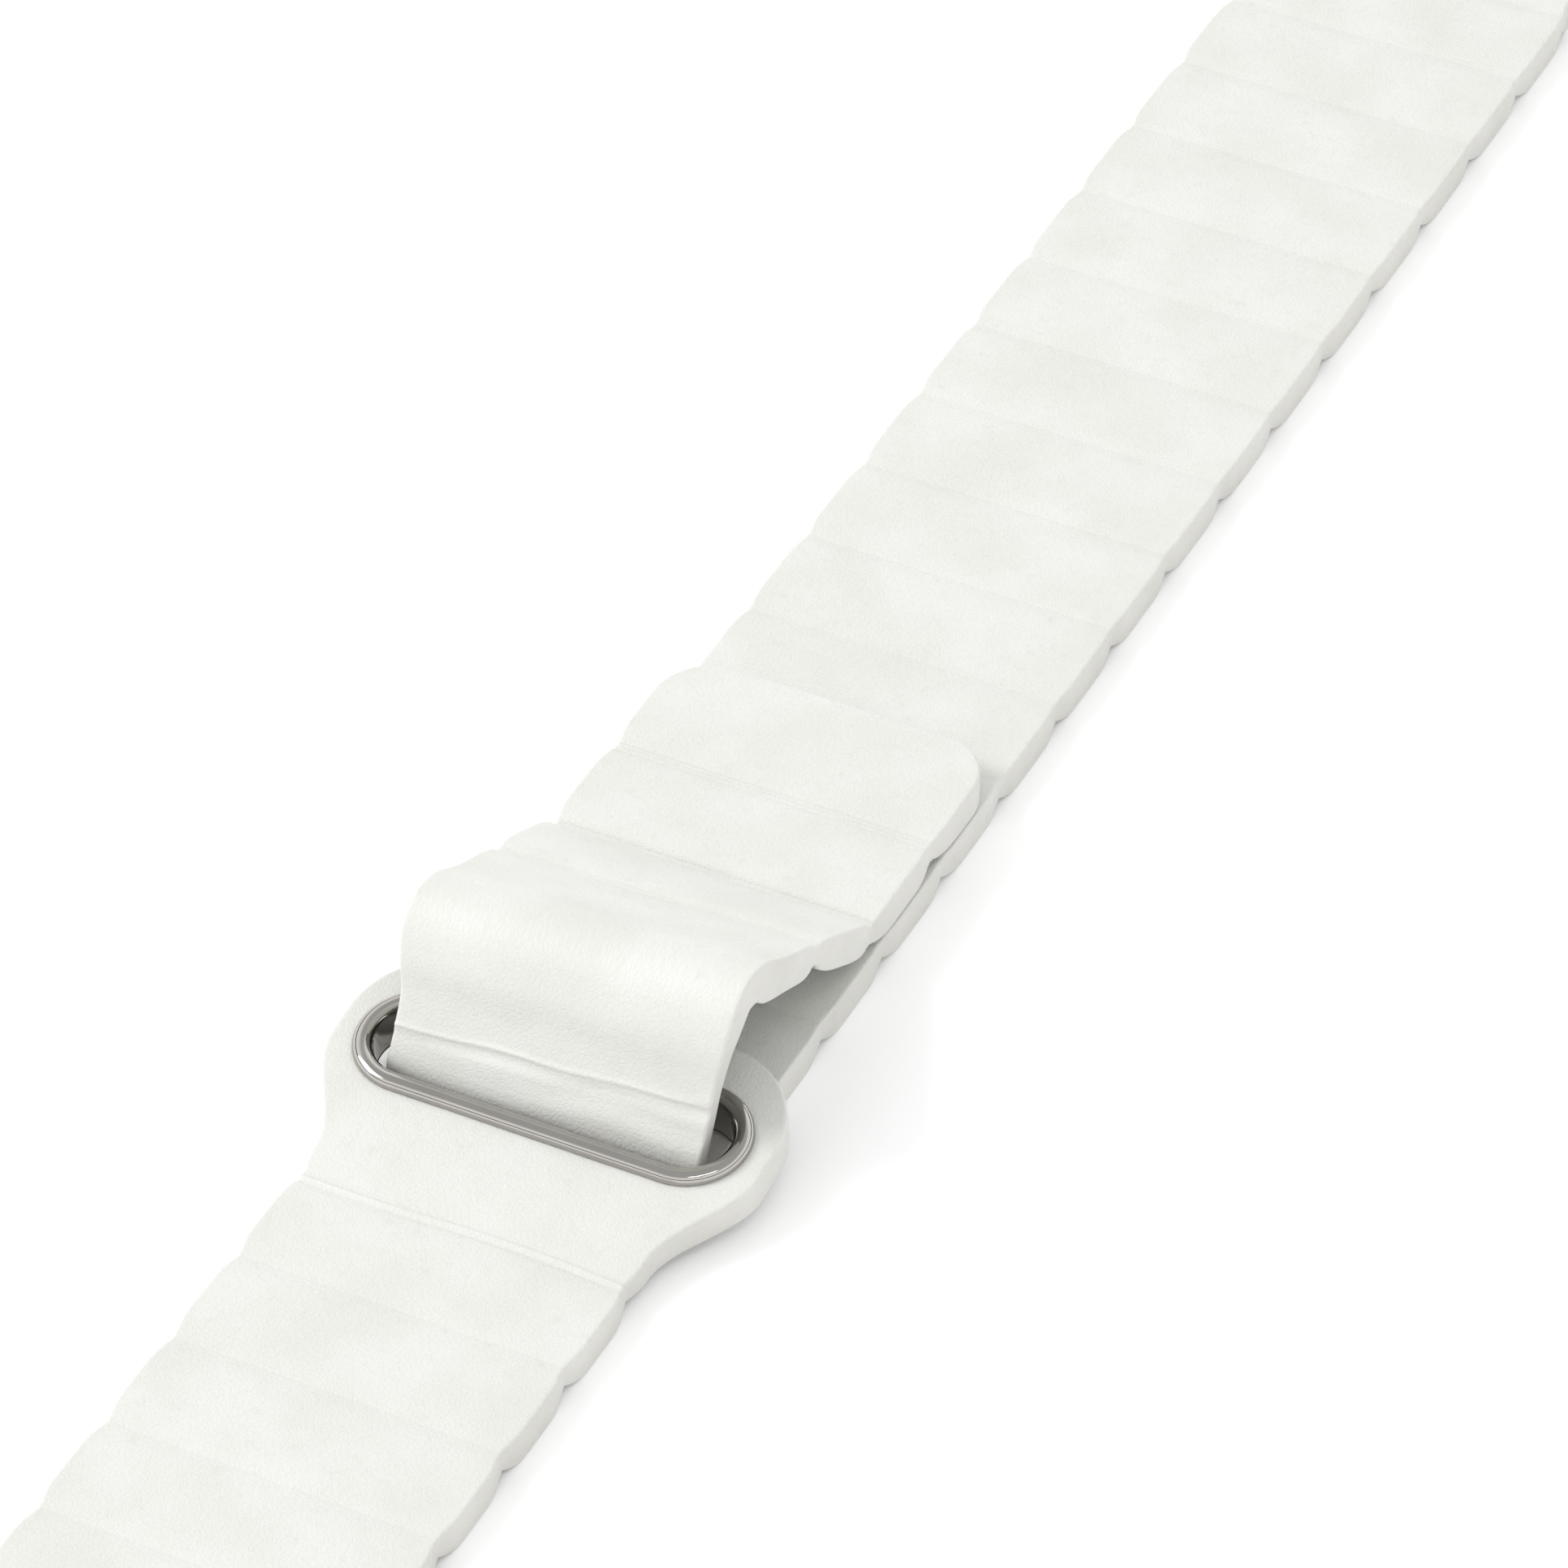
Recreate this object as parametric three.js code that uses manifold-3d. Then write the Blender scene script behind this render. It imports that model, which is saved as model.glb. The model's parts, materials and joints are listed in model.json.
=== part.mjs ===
// A slotted-head loop strap for a wristwatch: two quilted leather parts that pass through
// each other. The long part goes under the head of the short part, up through its steel
// eyelet, and folds back over itself, where bar magnets in its cells hold it down.
//
// Frame: millimetres, +Z up, +Y along the long part, +X across the strap. The strap lies on
// the plane Z = 0. Everything is drawn in a side plane (Y, Z) or a plan (X, Y) and extruded.

import * as THREE from "three";
import { mergeVertices } from "three/addons/utils/BufferGeometryUtils.js";
import Module from "manifold-3d";

// ---------------------------------------------------------------- driving dimensions (mm)

const STRAP_WIDTH = 22; // lug width of the watch case
const CELL_THICKNESS = 2.3; // at the middle of a quilted cell
const GROOVE_THICKNESS = 1.0; // where two cells meet
const CELL_FLAT = 3.2; // flat middle of a cell, top and bottom
const HINGE_GAP = 0.5; // clear space between two cells at a groove
const LAYER_GAP = 0.3; // clear space between pieces that lie on each other

const LONG_PITCH = 8.4; // groove to groove on the long part
const SHORT_PITCH = 7.7; // groove to groove on the short part
const ROOT_CELLS = 4; // long-part cells that the folded end lies on
const LONG_CELLS = 11; // long-part cells beyond the folded end
const SHORT_CELLS = 7; // cells between the head and the watch case
const FIRST_GROOVE = 5.6; // from the eyelet's centre to the long part's first groove

const FOLD_INSET = 0.6; // the plain panel through the eyelet is narrower by this at each edge
const FOLD_THICKNESS = 1.2;
const FOLD_LEAN = 62; // slope of the panel where it leaves the eyelet, degrees
const FOLD_RISE = 5.6; // how far it runs at that slope before it bends over
const FOLD_BEND = 2.1; // centre-line radius of its turn up into the eyelet
const FOLD_FRONT_GAP = 1.0; // clear space in front of it in the eyelet
const FOLD_FLOOR_GAP = 0.1; // clear space under it
const FLAP_ANGLES = [-19, -26, 0]; // slope of each folded-back cell, degrees
const FLAP_LANDING = 1.8; // where it meets the long part, in pitches from the first groove
const TIP_LENGTH = 10; // last cell of the folded-back end
const TIP_CORNER = 4; // radius of its two corners in plan

const HEAD_MARGIN = 2.1; // leather beside the eyelet's opening
const HEAD_THICKNESS = 2.3;
const HEAD_LINING = 0.7; // thickness of the head's lining leather
const HEAD_CREASE = 11.6; // from the eyelet's centre back to the crease where cells start
const HEAD_BRIDGE = 4.5; // from the eyelet's opening to the head's free end
const HEAD_CORNER = 6.2; // plan radius of the free end's corners
const HEAD_FLARE = 7.5; // length over which the head widens from the strap
const HEAD_TILT = 8; // degrees that the head climbs over the long part

const SLOT_HEIGHT = 5.4; // clear opening of the eyelet along the strap
const SLOT_SIDE_GAP = 1.3; // clear space beside the panel in the eyelet
const EYELET_LIP = 1.25; // width of the lip that shows around the opening
const EYELET_WALL = 0.45; // wall of the tube that lines the slot
const EYELET_RISE = 0.55; // how far a lip stands off the leather

const BAR_RADIUS = 0.75; // tube of the quick-release spring bar
const BAR_CLEARANCE = 0.25;
const LOOP_WALL = 0.65; // leather wrapped around the bar
const LOOP_LENGTH = 7.6; // from the last groove to the bar's centre
const LOOP_INSET = 0.4; // the loop is narrower than the lugs by this much at each end
const TIP_RADIUS = 0.45; // pivot tips that enter the watch case
const TIP_REACH = 0.8; // how far a tip stands out past the lug width
const KNOB_OFFSET = 4.2; // knob of the sliding tip, in from the end of the bar
const KNOB_RADIUS = 0.4;
const SLIDE_TRAVEL = 1.6; // how far the knob draws the tip in

const MAGNET_THICKNESS = 1.1;
const MAGNET_LENGTH = 3.6; // along the strap
const MAGNET_INSET = 2.5; // a magnet ends this far inside the strap's edge

// ---------------------------------------------------------------- values that follow

const MID = CELL_THICKNESS / 2;
const GROOVE = GROOVE_THICKNESS / 2;
const DEG = Math.PI / 180;
const SLOT_R = SLOT_HEIGHT / 2;
const FOLD_WIDTH = STRAP_WIDTH - 2 * FOLD_INSET;
const SLOT_WIDTH = FOLD_WIDTH + 2 * SLOT_SIDE_GAP;
const HEAD_WIDTH = SLOT_WIDTH + 2 * HEAD_MARGIN;
const HEAD_TOE = SLOT_R + HEAD_BRIDGE;
const MAGNET_WIDTH = STRAP_WIDTH - 2 * MAGNET_INSET;
const LOOP_R = BAR_RADIUS + BAR_CLEARANCE + LOOP_WALL;
const BAR_Z = LOOP_R;
const LONG_END = FIRST_GROOVE + (ROOT_CELLS + LONG_CELLS) * LONG_PITCH;
const SHORT_END = -HEAD_CREASE - SHORT_CELLS * SHORT_PITCH;
const LONG_BAR_Y = LONG_END + LOOP_LENGTH;
const SHORT_BAR_Y = SHORT_END - LOOP_LENGTH;
const SHIFT_Y = -(LONG_BAR_Y + SHORT_BAR_Y) / 2; // puts the middle of the strap at Y = 0

const LEATHER = { color: 0xefefe9, roughness: 0.72, metalness: 0 };
const LINING = { color: 0xe6e5de, roughness: 0.85, metalness: 0 };
const STEEL = { color: 0xb9b6b0, roughness: 0.18, metalness: 1 };
const MAGNET = { color: 0x8c8f94, roughness: 0.4, metalness: 1 };

const wasm = await Module();
wasm.setup();

// ---------------------------------------------------------------- solids

/** Turns a closed geometry into a solid for joining and cutting. */
function solid(geometry) {
  const bare = geometry.clone();
  bare.deleteAttribute("normal");
  bare.deleteAttribute("uv");
  const merged = mergeVertices(bare, 1e-5);
  const vertProperties = new Float32Array(merged.attributes.position.array);
  const triVerts = new Uint32Array(merged.index.array);
  return new wasm.Manifold(new wasm.Mesh({ numProp: 3, vertProperties, triVerts }));
}

/** Turns a solid back into a geometry. */
function geometryOf(body) {
  const mesh = body.getMesh();
  const geometry = new THREE.BufferGeometry();
  const positions = new Float32Array(mesh.numVert * 3);
  for (let i = 0; i < mesh.numVert; i += 1) {
    for (let k = 0; k < 3; k += 1) {
      positions[3 * i + k] = mesh.vertProperties[mesh.numProp * i + k];
    }
  }
  geometry.setAttribute("position", new THREE.BufferAttribute(positions, 3));
  geometry.setIndex(new THREE.BufferAttribute(new Uint32Array(mesh.triVerts), 1));
  geometry.computeVertexNormals();
  return geometry;
}

/** Extrudes a side outline, given as (Y, Z) points, across the strap, centred on X = 0. */
function sidePrism(points, width, holes = [], centreX = 0) {
  const outline = new THREE.Shape(points);
  outline.holes = holes.map((hole) => new THREE.Path(hole));
  const geometry = new THREE.ExtrudeGeometry(outline, { depth: width, bevelEnabled: false });
  // the shape's x, y and depth become Y, Z and X
  const turn = new THREE.Matrix4().makeBasis(
    new THREE.Vector3(0, 1, 0),
    new THREE.Vector3(0, 0, 1),
    new THREE.Vector3(1, 0, 0),
  );
  geometry.applyMatrix4(turn);
  geometry.translate(centreX - width / 2, 0, 0);
  return geometry;
}

/** Extrudes a plan outline (X, Y) from one height to another. */
function planPrism(outline, low, high, curveSegments = 10) {
  const options = { depth: high - low, bevelEnabled: false, curveSegments };
  const geometry = new THREE.ExtrudeGeometry(outline, options);
  geometry.translate(0, 0, low);
  return geometry;
}

/** A cylinder along X, about (Y, Z) = (0, 0). */
function rodAlongX(radius, fromX, toX, sides = 20) {
  const geometry = new THREE.CylinderGeometry(radius, radius, toX - fromX, sides);
  geometry.rotateZ(-Math.PI / 2);
  geometry.translate((fromX + toX) / 2, 0, 0);
  return geometry;
}

/** Rectangle in the side plane as a list of points. */
function box2(y0, y1, z0, z1) {
  return [
    new THREE.Vector2(y0, z0),
    new THREE.Vector2(y1, z0),
    new THREE.Vector2(y1, z1),
    new THREE.Vector2(y0, z1),
  ];
}

const strap = new THREE.Group();
strap.position.y = SHIFT_Y;

function addPiece(name, geometry, look, parent = strap) {
  const mesh = new THREE.Mesh(geometry, new THREE.MeshStandardMaterial(look));
  mesh.name = name;
  parent.add(mesh);
  return mesh;
}

// ---------------------------------------------------------------- quilted cells

/** Side outline of a cell between two grooves, centred on the origin. */
function cellOutline(length) {
  const run = length / 2 - HINGE_GAP / 2 - CELL_FLAT / 2;
  const steps = 5;
  const quarter = [];
  for (let i = 0; i <= steps; i += 1) {
    const turn = (i / steps) * (Math.PI / 2);
    const y = CELL_FLAT / 2 + run * Math.sin(turn);
    const z = GROOVE + (MID - GROOVE) * Math.cos(turn);
    quarter.push(new THREE.Vector2(y, z));
  }
  const far = quarter.slice().reverse();
  const near = quarter.map((p) => new THREE.Vector2(-p.x, p.y));
  const upper = [...far, ...near];
  const lower = upper.map((p) => new THREE.Vector2(-p.x, -p.y));
  return [...upper, ...lower];
}

/** Adds one quilted cell with a bar magnet in it, turned by angle about its own middle. */
function addMagnetCell(name, y, z, angle, length) {
  const group = new THREE.Group();
  group.position.set(0, y, z);
  group.rotation.x = angle * DEG;
  strap.add(group);
  const halfPocket = MAGNET_LENGTH / 2 + LAYER_GAP;
  const tall = MAGNET_THICKNESS / 2 + LAYER_GAP / 2;
  const pocket = box2(-halfPocket, halfPocket, -tall, tall);
  addPiece(name, sidePrism(cellOutline(length), STRAP_WIDTH, [pocket]), LEATHER, group);
  addPiece(`${name}_magnet`, magnet(), MAGNET, group);
}

function magnet() {
  return new THREE.BoxGeometry(MAGNET_WIDTH, MAGNET_LENGTH, MAGNET_THICKNESS);
}

function addLongPart() {
  for (let i = 0; i < ROOT_CELLS + LONG_CELLS; i += 1) {
    const middle = FIRST_GROOVE + (i + 0.5) * LONG_PITCH;
    const label = String(i + 1).padStart(2, "0");
    addMagnetCell(`long_cell_${label}`, middle, MID, 0, LONG_PITCH);
  }
}

function addShortPart() {
  for (let i = 0; i < SHORT_CELLS; i += 1) {
    const cell = sidePrism(cellOutline(SHORT_PITCH), STRAP_WIDTH);
    cell.translate(0, -HEAD_CREASE - (i + 0.5) * SHORT_PITCH, MID);
    addPiece(`short_cell_${i + 1}`, cell, LEATHER);
  }
}

// ---------------------------------------------------------------- folded-back end

/** Groove points of the folded-back end, from the fold to the tip: (Y, Z). */
function flapGrooves() {
  const restZ = CELL_THICKNESS + LAYER_GAP + MID;
  const landing = new THREE.Vector2(FIRST_GROOVE + FLAP_LANDING * LONG_PITCH, restZ);
  const points = [landing];
  for (const angle of [FLAP_ANGLES[1], FLAP_ANGLES[0]]) {
    const last = points[0];
    const dy = LONG_PITCH * Math.cos(angle * DEG);
    const dz = LONG_PITCH * Math.sin(angle * DEG);
    points.unshift(new THREE.Vector2(last.x - dy, last.y - dz));
  }
  points.push(new THREE.Vector2(landing.x + LONG_PITCH, restZ));
  return points;
}

function addFlap() {
  const grooves = flapGrooves();
  FLAP_ANGLES.forEach((angle, i) => {
    const middle = grooves[i].clone().add(grooves[i + 1]).multiplyScalar(0.5);
    addMagnetCell(`flap_cell_${i + 1}`, middle.x, middle.y, angle, LONG_PITCH);
  });
  addTipCell(grooves[3]);
}

/** The last cell of the folded-back end, with round corners and a magnet. */
function addTipCell(groove) {
  const half = TIP_LENGTH / 2;
  const tall = MAGNET_THICKNESS / 2 + LAYER_GAP / 2;
  const inHalf = MAGNET_LENGTH / 2 + LAYER_GAP;
  const pocket = box2(-inHalf, inHalf, -tall, tall);
  const body = solid(sidePrism(cellOutline(TIP_LENGTH), STRAP_WIDTH, [pocket]));
  const w = STRAP_WIDTH / 2;
  const end = half - HINGE_GAP / 2;
  const plan = new THREE.Shape();
  plan.moveTo(-w, -half);
  plan.lineTo(w, -half);
  plan.lineTo(w, end - TIP_CORNER);
  plan.absarc(w - TIP_CORNER, end - TIP_CORNER, TIP_CORNER, 0, Math.PI / 2, false);
  plan.absarc(-w + TIP_CORNER, end - TIP_CORNER, TIP_CORNER, Math.PI / 2, Math.PI, false);
  plan.closePath();
  const trimmed = body.intersect(solid(planPrism(plan, -MID - 1, MID + 1, 6)));
  const group = new THREE.Group();
  group.position.set(0, groove.x + half, groove.y);
  strap.add(group);
  addPiece("flap_tip", geometryOf(trimmed), LEATHER, group);
  addPiece("flap_tip_magnet", magnet(), MAGNET, group);
}

/** The plain panel: under the head, up through the eyelet, and over to the first cell. */
function addFold() {
  const first = flapGrooves()[0];
  const start = new THREE.Vector2(FIRST_GROOVE - HINGE_GAP / 2, MID);
  const lead = new THREE.Vector2(Math.cos(FLAP_ANGLES[0] * DEG), Math.sin(FLAP_ANGLES[0] * DEG));
  const rise = new THREE.Vector2(Math.cos(FOLD_LEAN * DEG), Math.sin(FOLD_LEAN * DEG));
  const end = first.clone().addScaledVector(lead, -HINGE_GAP / 2);
  const underZ = FOLD_THICKNESS / 2 + FOLD_FLOOR_GAP;
  const slotY = -(SLOT_R - FOLD_FRONT_GAP - FOLD_THICKNESS / 2);
  const turn = new THREE.Vector2(slotY + FOLD_BEND, underZ + FOLD_BEND);
  const route = [start, new THREE.Vector2(start.x - 1.4, MID - 0.2)];
  route.push(new THREE.Vector2(turn.x + 1.6, underZ));
  const turnSteps = 4;
  for (let i = 0; i <= turnSteps; i += 1) {
    const a = -Math.PI / 2 - (i / turnSteps) * (Math.PI / 2);
    route.push(new THREE.Vector2(Math.cos(a), Math.sin(a)).multiplyScalar(FOLD_BEND).add(turn));
  }
  const upright = route[route.length - 1];
  route.push(upright.clone().addScaledVector(rise, FOLD_RISE / 2));
  route.push(upright.clone().addScaledVector(rise, FOLD_RISE));
  route.push(end.clone().addScaledVector(lead, -FOLD_BEND), end);
  const centreLine = new THREE.SplineCurve(route);
  const count = 44;
  const left = [];
  const right = [];
  for (let i = 0; i <= count; i += 1) {
    const p = centreLine.getPointAt(i / count);
    const t = centreLine.getTangentAt(i / count);
    const near = Math.min(i, count - i) / count;
    const half = THREE.MathUtils.lerp(GROOVE, FOLD_THICKNESS / 2, Math.min(near * 8, 1));
    left.push(new THREE.Vector2(p.x - t.y * half, p.y + t.x * half));
    right.unshift(new THREE.Vector2(p.x + t.y * half, p.y - t.x * half));
  }
  addPiece("fold_panel", sidePrism([...left, ...right], FOLD_WIDTH), LEATHER);
}

// ---------------------------------------------------------------- head and eyelet

/** A slot outline: a stadium of the given half height, around the eyelet's opening. */
function stadium(radius) {
  const half = SLOT_WIDTH / 2 - SLOT_R;
  const path = new THREE.Shape();
  path.moveTo(-half, -radius);
  path.lineTo(half, -radius);
  path.absarc(half, 0, radius, -Math.PI / 2, Math.PI / 2, false);
  path.lineTo(-half, radius);
  path.absarc(-half, 0, radius, Math.PI / 2, (3 * Math.PI) / 2, false);
  return path;
}

/** Plan of the head: strap width at the crease, flared to the eyelet, round at its end. */
function headPlan() {
  const narrow = STRAP_WIDTH / 2;
  const wide = HEAD_WIDTH / 2;
  const back = -HEAD_CREASE + HINGE_GAP / 2;
  const flareEnd = back + 2.2 + HEAD_FLARE;
  const plan = new THREE.Shape();
  plan.moveTo(-narrow, back);
  plan.lineTo(narrow, back);
  plan.lineTo(narrow, back + 2.2);
  plan.bezierCurveTo(narrow, back + 5.2, wide, flareEnd - 3.4, wide, flareEnd);
  plan.lineTo(wide, HEAD_TOE - HEAD_CORNER);
  plan.absarc(wide - HEAD_CORNER, HEAD_TOE - HEAD_CORNER, HEAD_CORNER, 0, Math.PI / 2, false);
  plan.absarc(-wide + HEAD_CORNER, HEAD_TOE - HEAD_CORNER, HEAD_CORNER, Math.PI / 2, Math.PI, false);
  plan.lineTo(-wide, flareEnd);
  plan.bezierCurveTo(-wide, flareEnd - 3.4, -narrow, back + 5.2, -narrow, back + 2.2);
  plan.closePath();
  return plan;
}

/** Side outline of a head layer, thinned to the groove's thickness at the crease. */
function headLayer(low, high) {
  const back = -HEAD_CREASE + HINGE_GAP / 2;
  const run = back + 2.4;
  const points = [new THREE.Vector2(HEAD_TOE + 1, low), new THREE.Vector2(HEAD_TOE + 1, high)];
  points.push(new THREE.Vector2(run, high), new THREE.Vector2(back - 0.01, Math.min(high, GROOVE)));
  points.push(new THREE.Vector2(back - 0.01, Math.max(low, -GROOVE)), new THREE.Vector2(run, low));
  return points.reverse();
}

function addHead() {
  const head = new THREE.Group();
  head.position.set(0, 0, MID + Math.sin(HEAD_TILT * DEG) * HEAD_CREASE);
  head.rotation.x = HEAD_TILT * DEG;
  strap.add(head);
  const half = HEAD_THICKNESS / 2;
  const split = -half + HEAD_LINING;
  const plan = headPlan();
  const hole = solid(planPrism(stadium(SLOT_R + EYELET_WALL + LAYER_GAP), -4, 4));
  const layers = [
    ["head_leather", split + LAYER_GAP, half, LEATHER],
    ["head_lining", -half, split, LINING],
  ];
  for (const [name, low, high, look] of layers) {
    const slab = solid(planPrism(plan, low, high, 8));
    const wedge = solid(sidePrism(headLayer(low, high), HEAD_WIDTH + 2));
    addPiece(name, geometryOf(slab.intersect(wedge).subtract(hole)), look, head);
  }
  addEyelet(head, half);
}

/** The eyelet: a lipped tube pressed through the head, and the ring that closes it below. */
function addEyelet(head, half) {
  const lipLow = half + LAYER_GAP / 2;
  const lipHigh = lipLow + EYELET_RISE;
  const outer = SLOT_R + EYELET_LIP;
  const opening = solid(planPrism(stadium(SLOT_R), -5, 5));
  const base = solid(planPrism(stadium(outer), lipLow, lipHigh - 0.2));
  const crown = solid(planPrism(stadium(outer - 0.3), lipHigh - 0.3, lipHigh));
  const tube = solid(planPrism(stadium(SLOT_R + EYELET_WALL), -half, lipLow + 0.1));
  const body = base.add(crown).add(tube).subtract(opening);
  addPiece("eyelet", geometryOf(body), STEEL, head);
  const ringTop = -half - LAYER_GAP / 2;
  const ring = solid(planPrism(stadium(outer - 0.2), ringTop - 0.3, ringTop));
  addPiece("eyelet_ring", geometryOf(ring.subtract(opening)), STEEL, head);
}

// ---------------------------------------------------------------- ends at the watch case

/** Leather loop at an end of the strap, and the sprung bar in it. side is +1 or -1 along Y. */
function addEnd(prefix, grooveY, side) {
  const end = new THREE.Group();
  end.position.set(0, grooveY + side * LOOP_LENGTH, BAR_Z);
  end.rotation.z = side > 0 ? 0 : Math.PI;
  strap.add(end);
  const loopWidth = STRAP_WIDTH - 2 * LOOP_INSET;
  const start = -LOOP_LENGTH + HINGE_GAP / 2;
  const drop = MID - BAR_Z; // the strap's middle below the bar's centre
  const outline = [
    new THREE.Vector2(start, drop - GROOVE),
    new THREE.Vector2(start + 1.6, drop - MID),
    new THREE.Vector2(-0.4, -LOOP_R),
  ];
  const arcSteps = 14;
  for (let i = 0; i <= arcSteps; i += 1) {
    const a = -Math.PI / 2 + (i / arcSteps) * Math.PI;
    outline.push(new THREE.Vector2(LOOP_R * Math.cos(a), LOOP_R * Math.sin(a)));
  }
  outline.push(new THREE.Vector2(-2.2, drop + MID + 0.15));
  outline.push(new THREE.Vector2(start + 1.6, drop + MID));
  outline.push(new THREE.Vector2(start, drop + GROOVE));
  const bore = solid(rodAlongX(BAR_RADIUS + BAR_CLEARANCE, -loopWidth, loopWidth));
  const knobX = STRAP_WIDTH / 2 - KNOB_OFFSET;
  const reach = KNOB_RADIUS + LAYER_GAP;
  const notch = new THREE.BoxGeometry(SLIDE_TRAVEL + 2 * reach, 2 * reach, LOOP_R * 2);
  notch.translate(knobX - SLIDE_TRAVEL / 2, 0, -LOOP_R);
  const loop = solid(sidePrism(outline, loopWidth)).subtract(bore).subtract(solid(notch));
  addPiece(`${prefix}_end_loop`, geometryOf(loop), LEATHER, end);
  addBar(prefix, end, knobX, reach);
}

/** A spring bar: a tube with one fixed tip, and a tip that a knob draws inwards. */
function addBar(prefix, end, knobX, reach) {
  const barEnd = STRAP_WIDTH / 2 - LOOP_INSET;
  const tipEnd = STRAP_WIDTH / 2 + TIP_REACH;
  const boreRadius = TIP_RADIUS + 0.06;
  const boreStart = knobX - SLIDE_TRAVEL - reach - 1;
  const tube = solid(rodAlongX(BAR_RADIUS, -barEnd, barEnd, 24));
  const fixedTip = solid(rodAlongX(TIP_RADIUS, -tipEnd, -barEnd + 1, 16));
  const bore = solid(rodAlongX(boreRadius, boreStart, barEnd + 1, 16));
  const window = new THREE.BoxGeometry(SLIDE_TRAVEL + 2 * reach, 2 * reach, BAR_RADIUS * 2);
  window.translate(knobX - SLIDE_TRAVEL / 2, 0, -BAR_RADIUS);
  const bar = tube.add(fixedTip).subtract(bore).subtract(solid(window));
  addPiece(`${prefix}_spring_bar`, geometryOf(bar), STEEL, end);
  const pin = solid(rodAlongX(TIP_RADIUS, knobX - KNOB_RADIUS - 0.2, tipEnd, 16));
  const knobLength = LOOP_R - 0.15;
  const knob = new THREE.CylinderGeometry(KNOB_RADIUS, KNOB_RADIUS, knobLength, 12);
  knob.rotateX(Math.PI / 2);
  knob.translate(knobX, 0, -knobLength / 2);
  addPiece(`${prefix}_sliding_tip`, geometryOf(pin.add(solid(knob))), STEEL, end);
}

addLongPart();
addFold();
addFlap();
addHead();
addShortPart();
addEnd("long", LONG_END, 1);
addEnd("short", SHORT_END, -1);

export default strap;
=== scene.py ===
"""A white leather watch strap, folded back through the steel eyelet in its own head.

The long part runs under the head, up through the eyelet and back over itself. Each leather
piece is cut flat, quilted between its grooves and laid along a route in the side plane, so the
pieces meet in the middle of a cell and each spans one groove.
"""

import json
import logging
import math
from dataclasses import dataclass, field
from enum import Enum
from typing import Callable

import bpy
import numpy as np
from mathutils import Matrix, Vector, noise


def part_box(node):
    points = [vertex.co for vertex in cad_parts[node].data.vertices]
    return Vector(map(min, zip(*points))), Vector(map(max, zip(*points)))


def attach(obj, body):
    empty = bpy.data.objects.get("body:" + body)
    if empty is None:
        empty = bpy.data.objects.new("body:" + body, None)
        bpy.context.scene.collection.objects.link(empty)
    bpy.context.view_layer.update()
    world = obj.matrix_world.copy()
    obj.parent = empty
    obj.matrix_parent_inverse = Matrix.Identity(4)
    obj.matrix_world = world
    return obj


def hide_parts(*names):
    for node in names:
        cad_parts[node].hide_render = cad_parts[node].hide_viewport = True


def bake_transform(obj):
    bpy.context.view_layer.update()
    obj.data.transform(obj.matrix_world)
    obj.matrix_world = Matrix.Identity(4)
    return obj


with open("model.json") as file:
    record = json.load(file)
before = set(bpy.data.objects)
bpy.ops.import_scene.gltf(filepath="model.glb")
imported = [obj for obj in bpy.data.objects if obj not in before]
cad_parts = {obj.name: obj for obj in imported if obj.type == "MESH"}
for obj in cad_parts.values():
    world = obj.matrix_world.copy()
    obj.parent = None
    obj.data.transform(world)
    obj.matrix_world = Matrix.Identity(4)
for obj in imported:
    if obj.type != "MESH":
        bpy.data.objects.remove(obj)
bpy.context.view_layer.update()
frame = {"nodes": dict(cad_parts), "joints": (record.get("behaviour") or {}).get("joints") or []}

MM = 0.001
LEATHER_HALF = 1.15 * MM
STRAP_HALF_WIDTH = 11.0 * MM
LOOP_RADIUS = 1.65 * MM
KNOT_SPACING = 0.12 * MM
LEATHER_EDGE_ANGLE = 38
STEEL_EDGE_ANGLE = 50
TINY = 1e-7
log = logging.getLogger("strap")
Height = Callable[[np.ndarray, np.ndarray], np.ndarray]


# ------------------------------------------------------------------ places from the frame


def joint_place(name: str) -> Vector:
    """Finds where a joint turns.

    Args:
        name: the joint's name in the record.

    Returns:
        Its place at rest, in metres.
    """
    found = [joint for joint in frame["joints"] if joint["name"] == name]
    return Vector(found[0]["pos_m"])


def middle(node: str) -> Vector:
    """Finds the middle of a frame node's box.

    Args:
        node: the node's name.

    Returns:
        The middle of its box at rest, in metres.
    """
    low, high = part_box(node)
    return (low + high) / 2


# ------------------------------------------------------------------ finishes


def remap(
    tree: bpy.types.NodeTree, value: bpy.types.NodeSocket, target: bpy.types.NodeSocket,
    **limits: float,
) -> bpy.types.Node:
    """Maps a value from one range to another.

    Args:
        tree: the material's node tree.
        value: the socket that gives the value.
        target: the socket that takes the result.
        limits: the ranges, as from_min, from_max, to_min and to_max where they aren't 0 or 1.

    Returns:
        The node.
    """
    node = tree.nodes.new("ShaderNodeMapRange")
    for name, limit in limits.items():
        node.inputs[name.replace("_", " ").title()].default_value = limit
    tree.links.new(value, node.inputs["Value"])
    tree.links.new(node.outputs["Result"], target)
    return node


class Face(Enum):
    """A face of the leather, by its side of the middle line."""

    OUTER = 1
    LINING = -1


class Course(Enum):
    """Which way along its route a part runs to the watch case."""

    FORWARD = 1
    BACKWARD = -1


class Paint(Enum):
    """Names of the record's finish slots; no piece here takes its finish from them."""

    LEATHER = "white_leather"
    STEEL = "polished_steel"
    MAGNET = "magnet"


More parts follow.
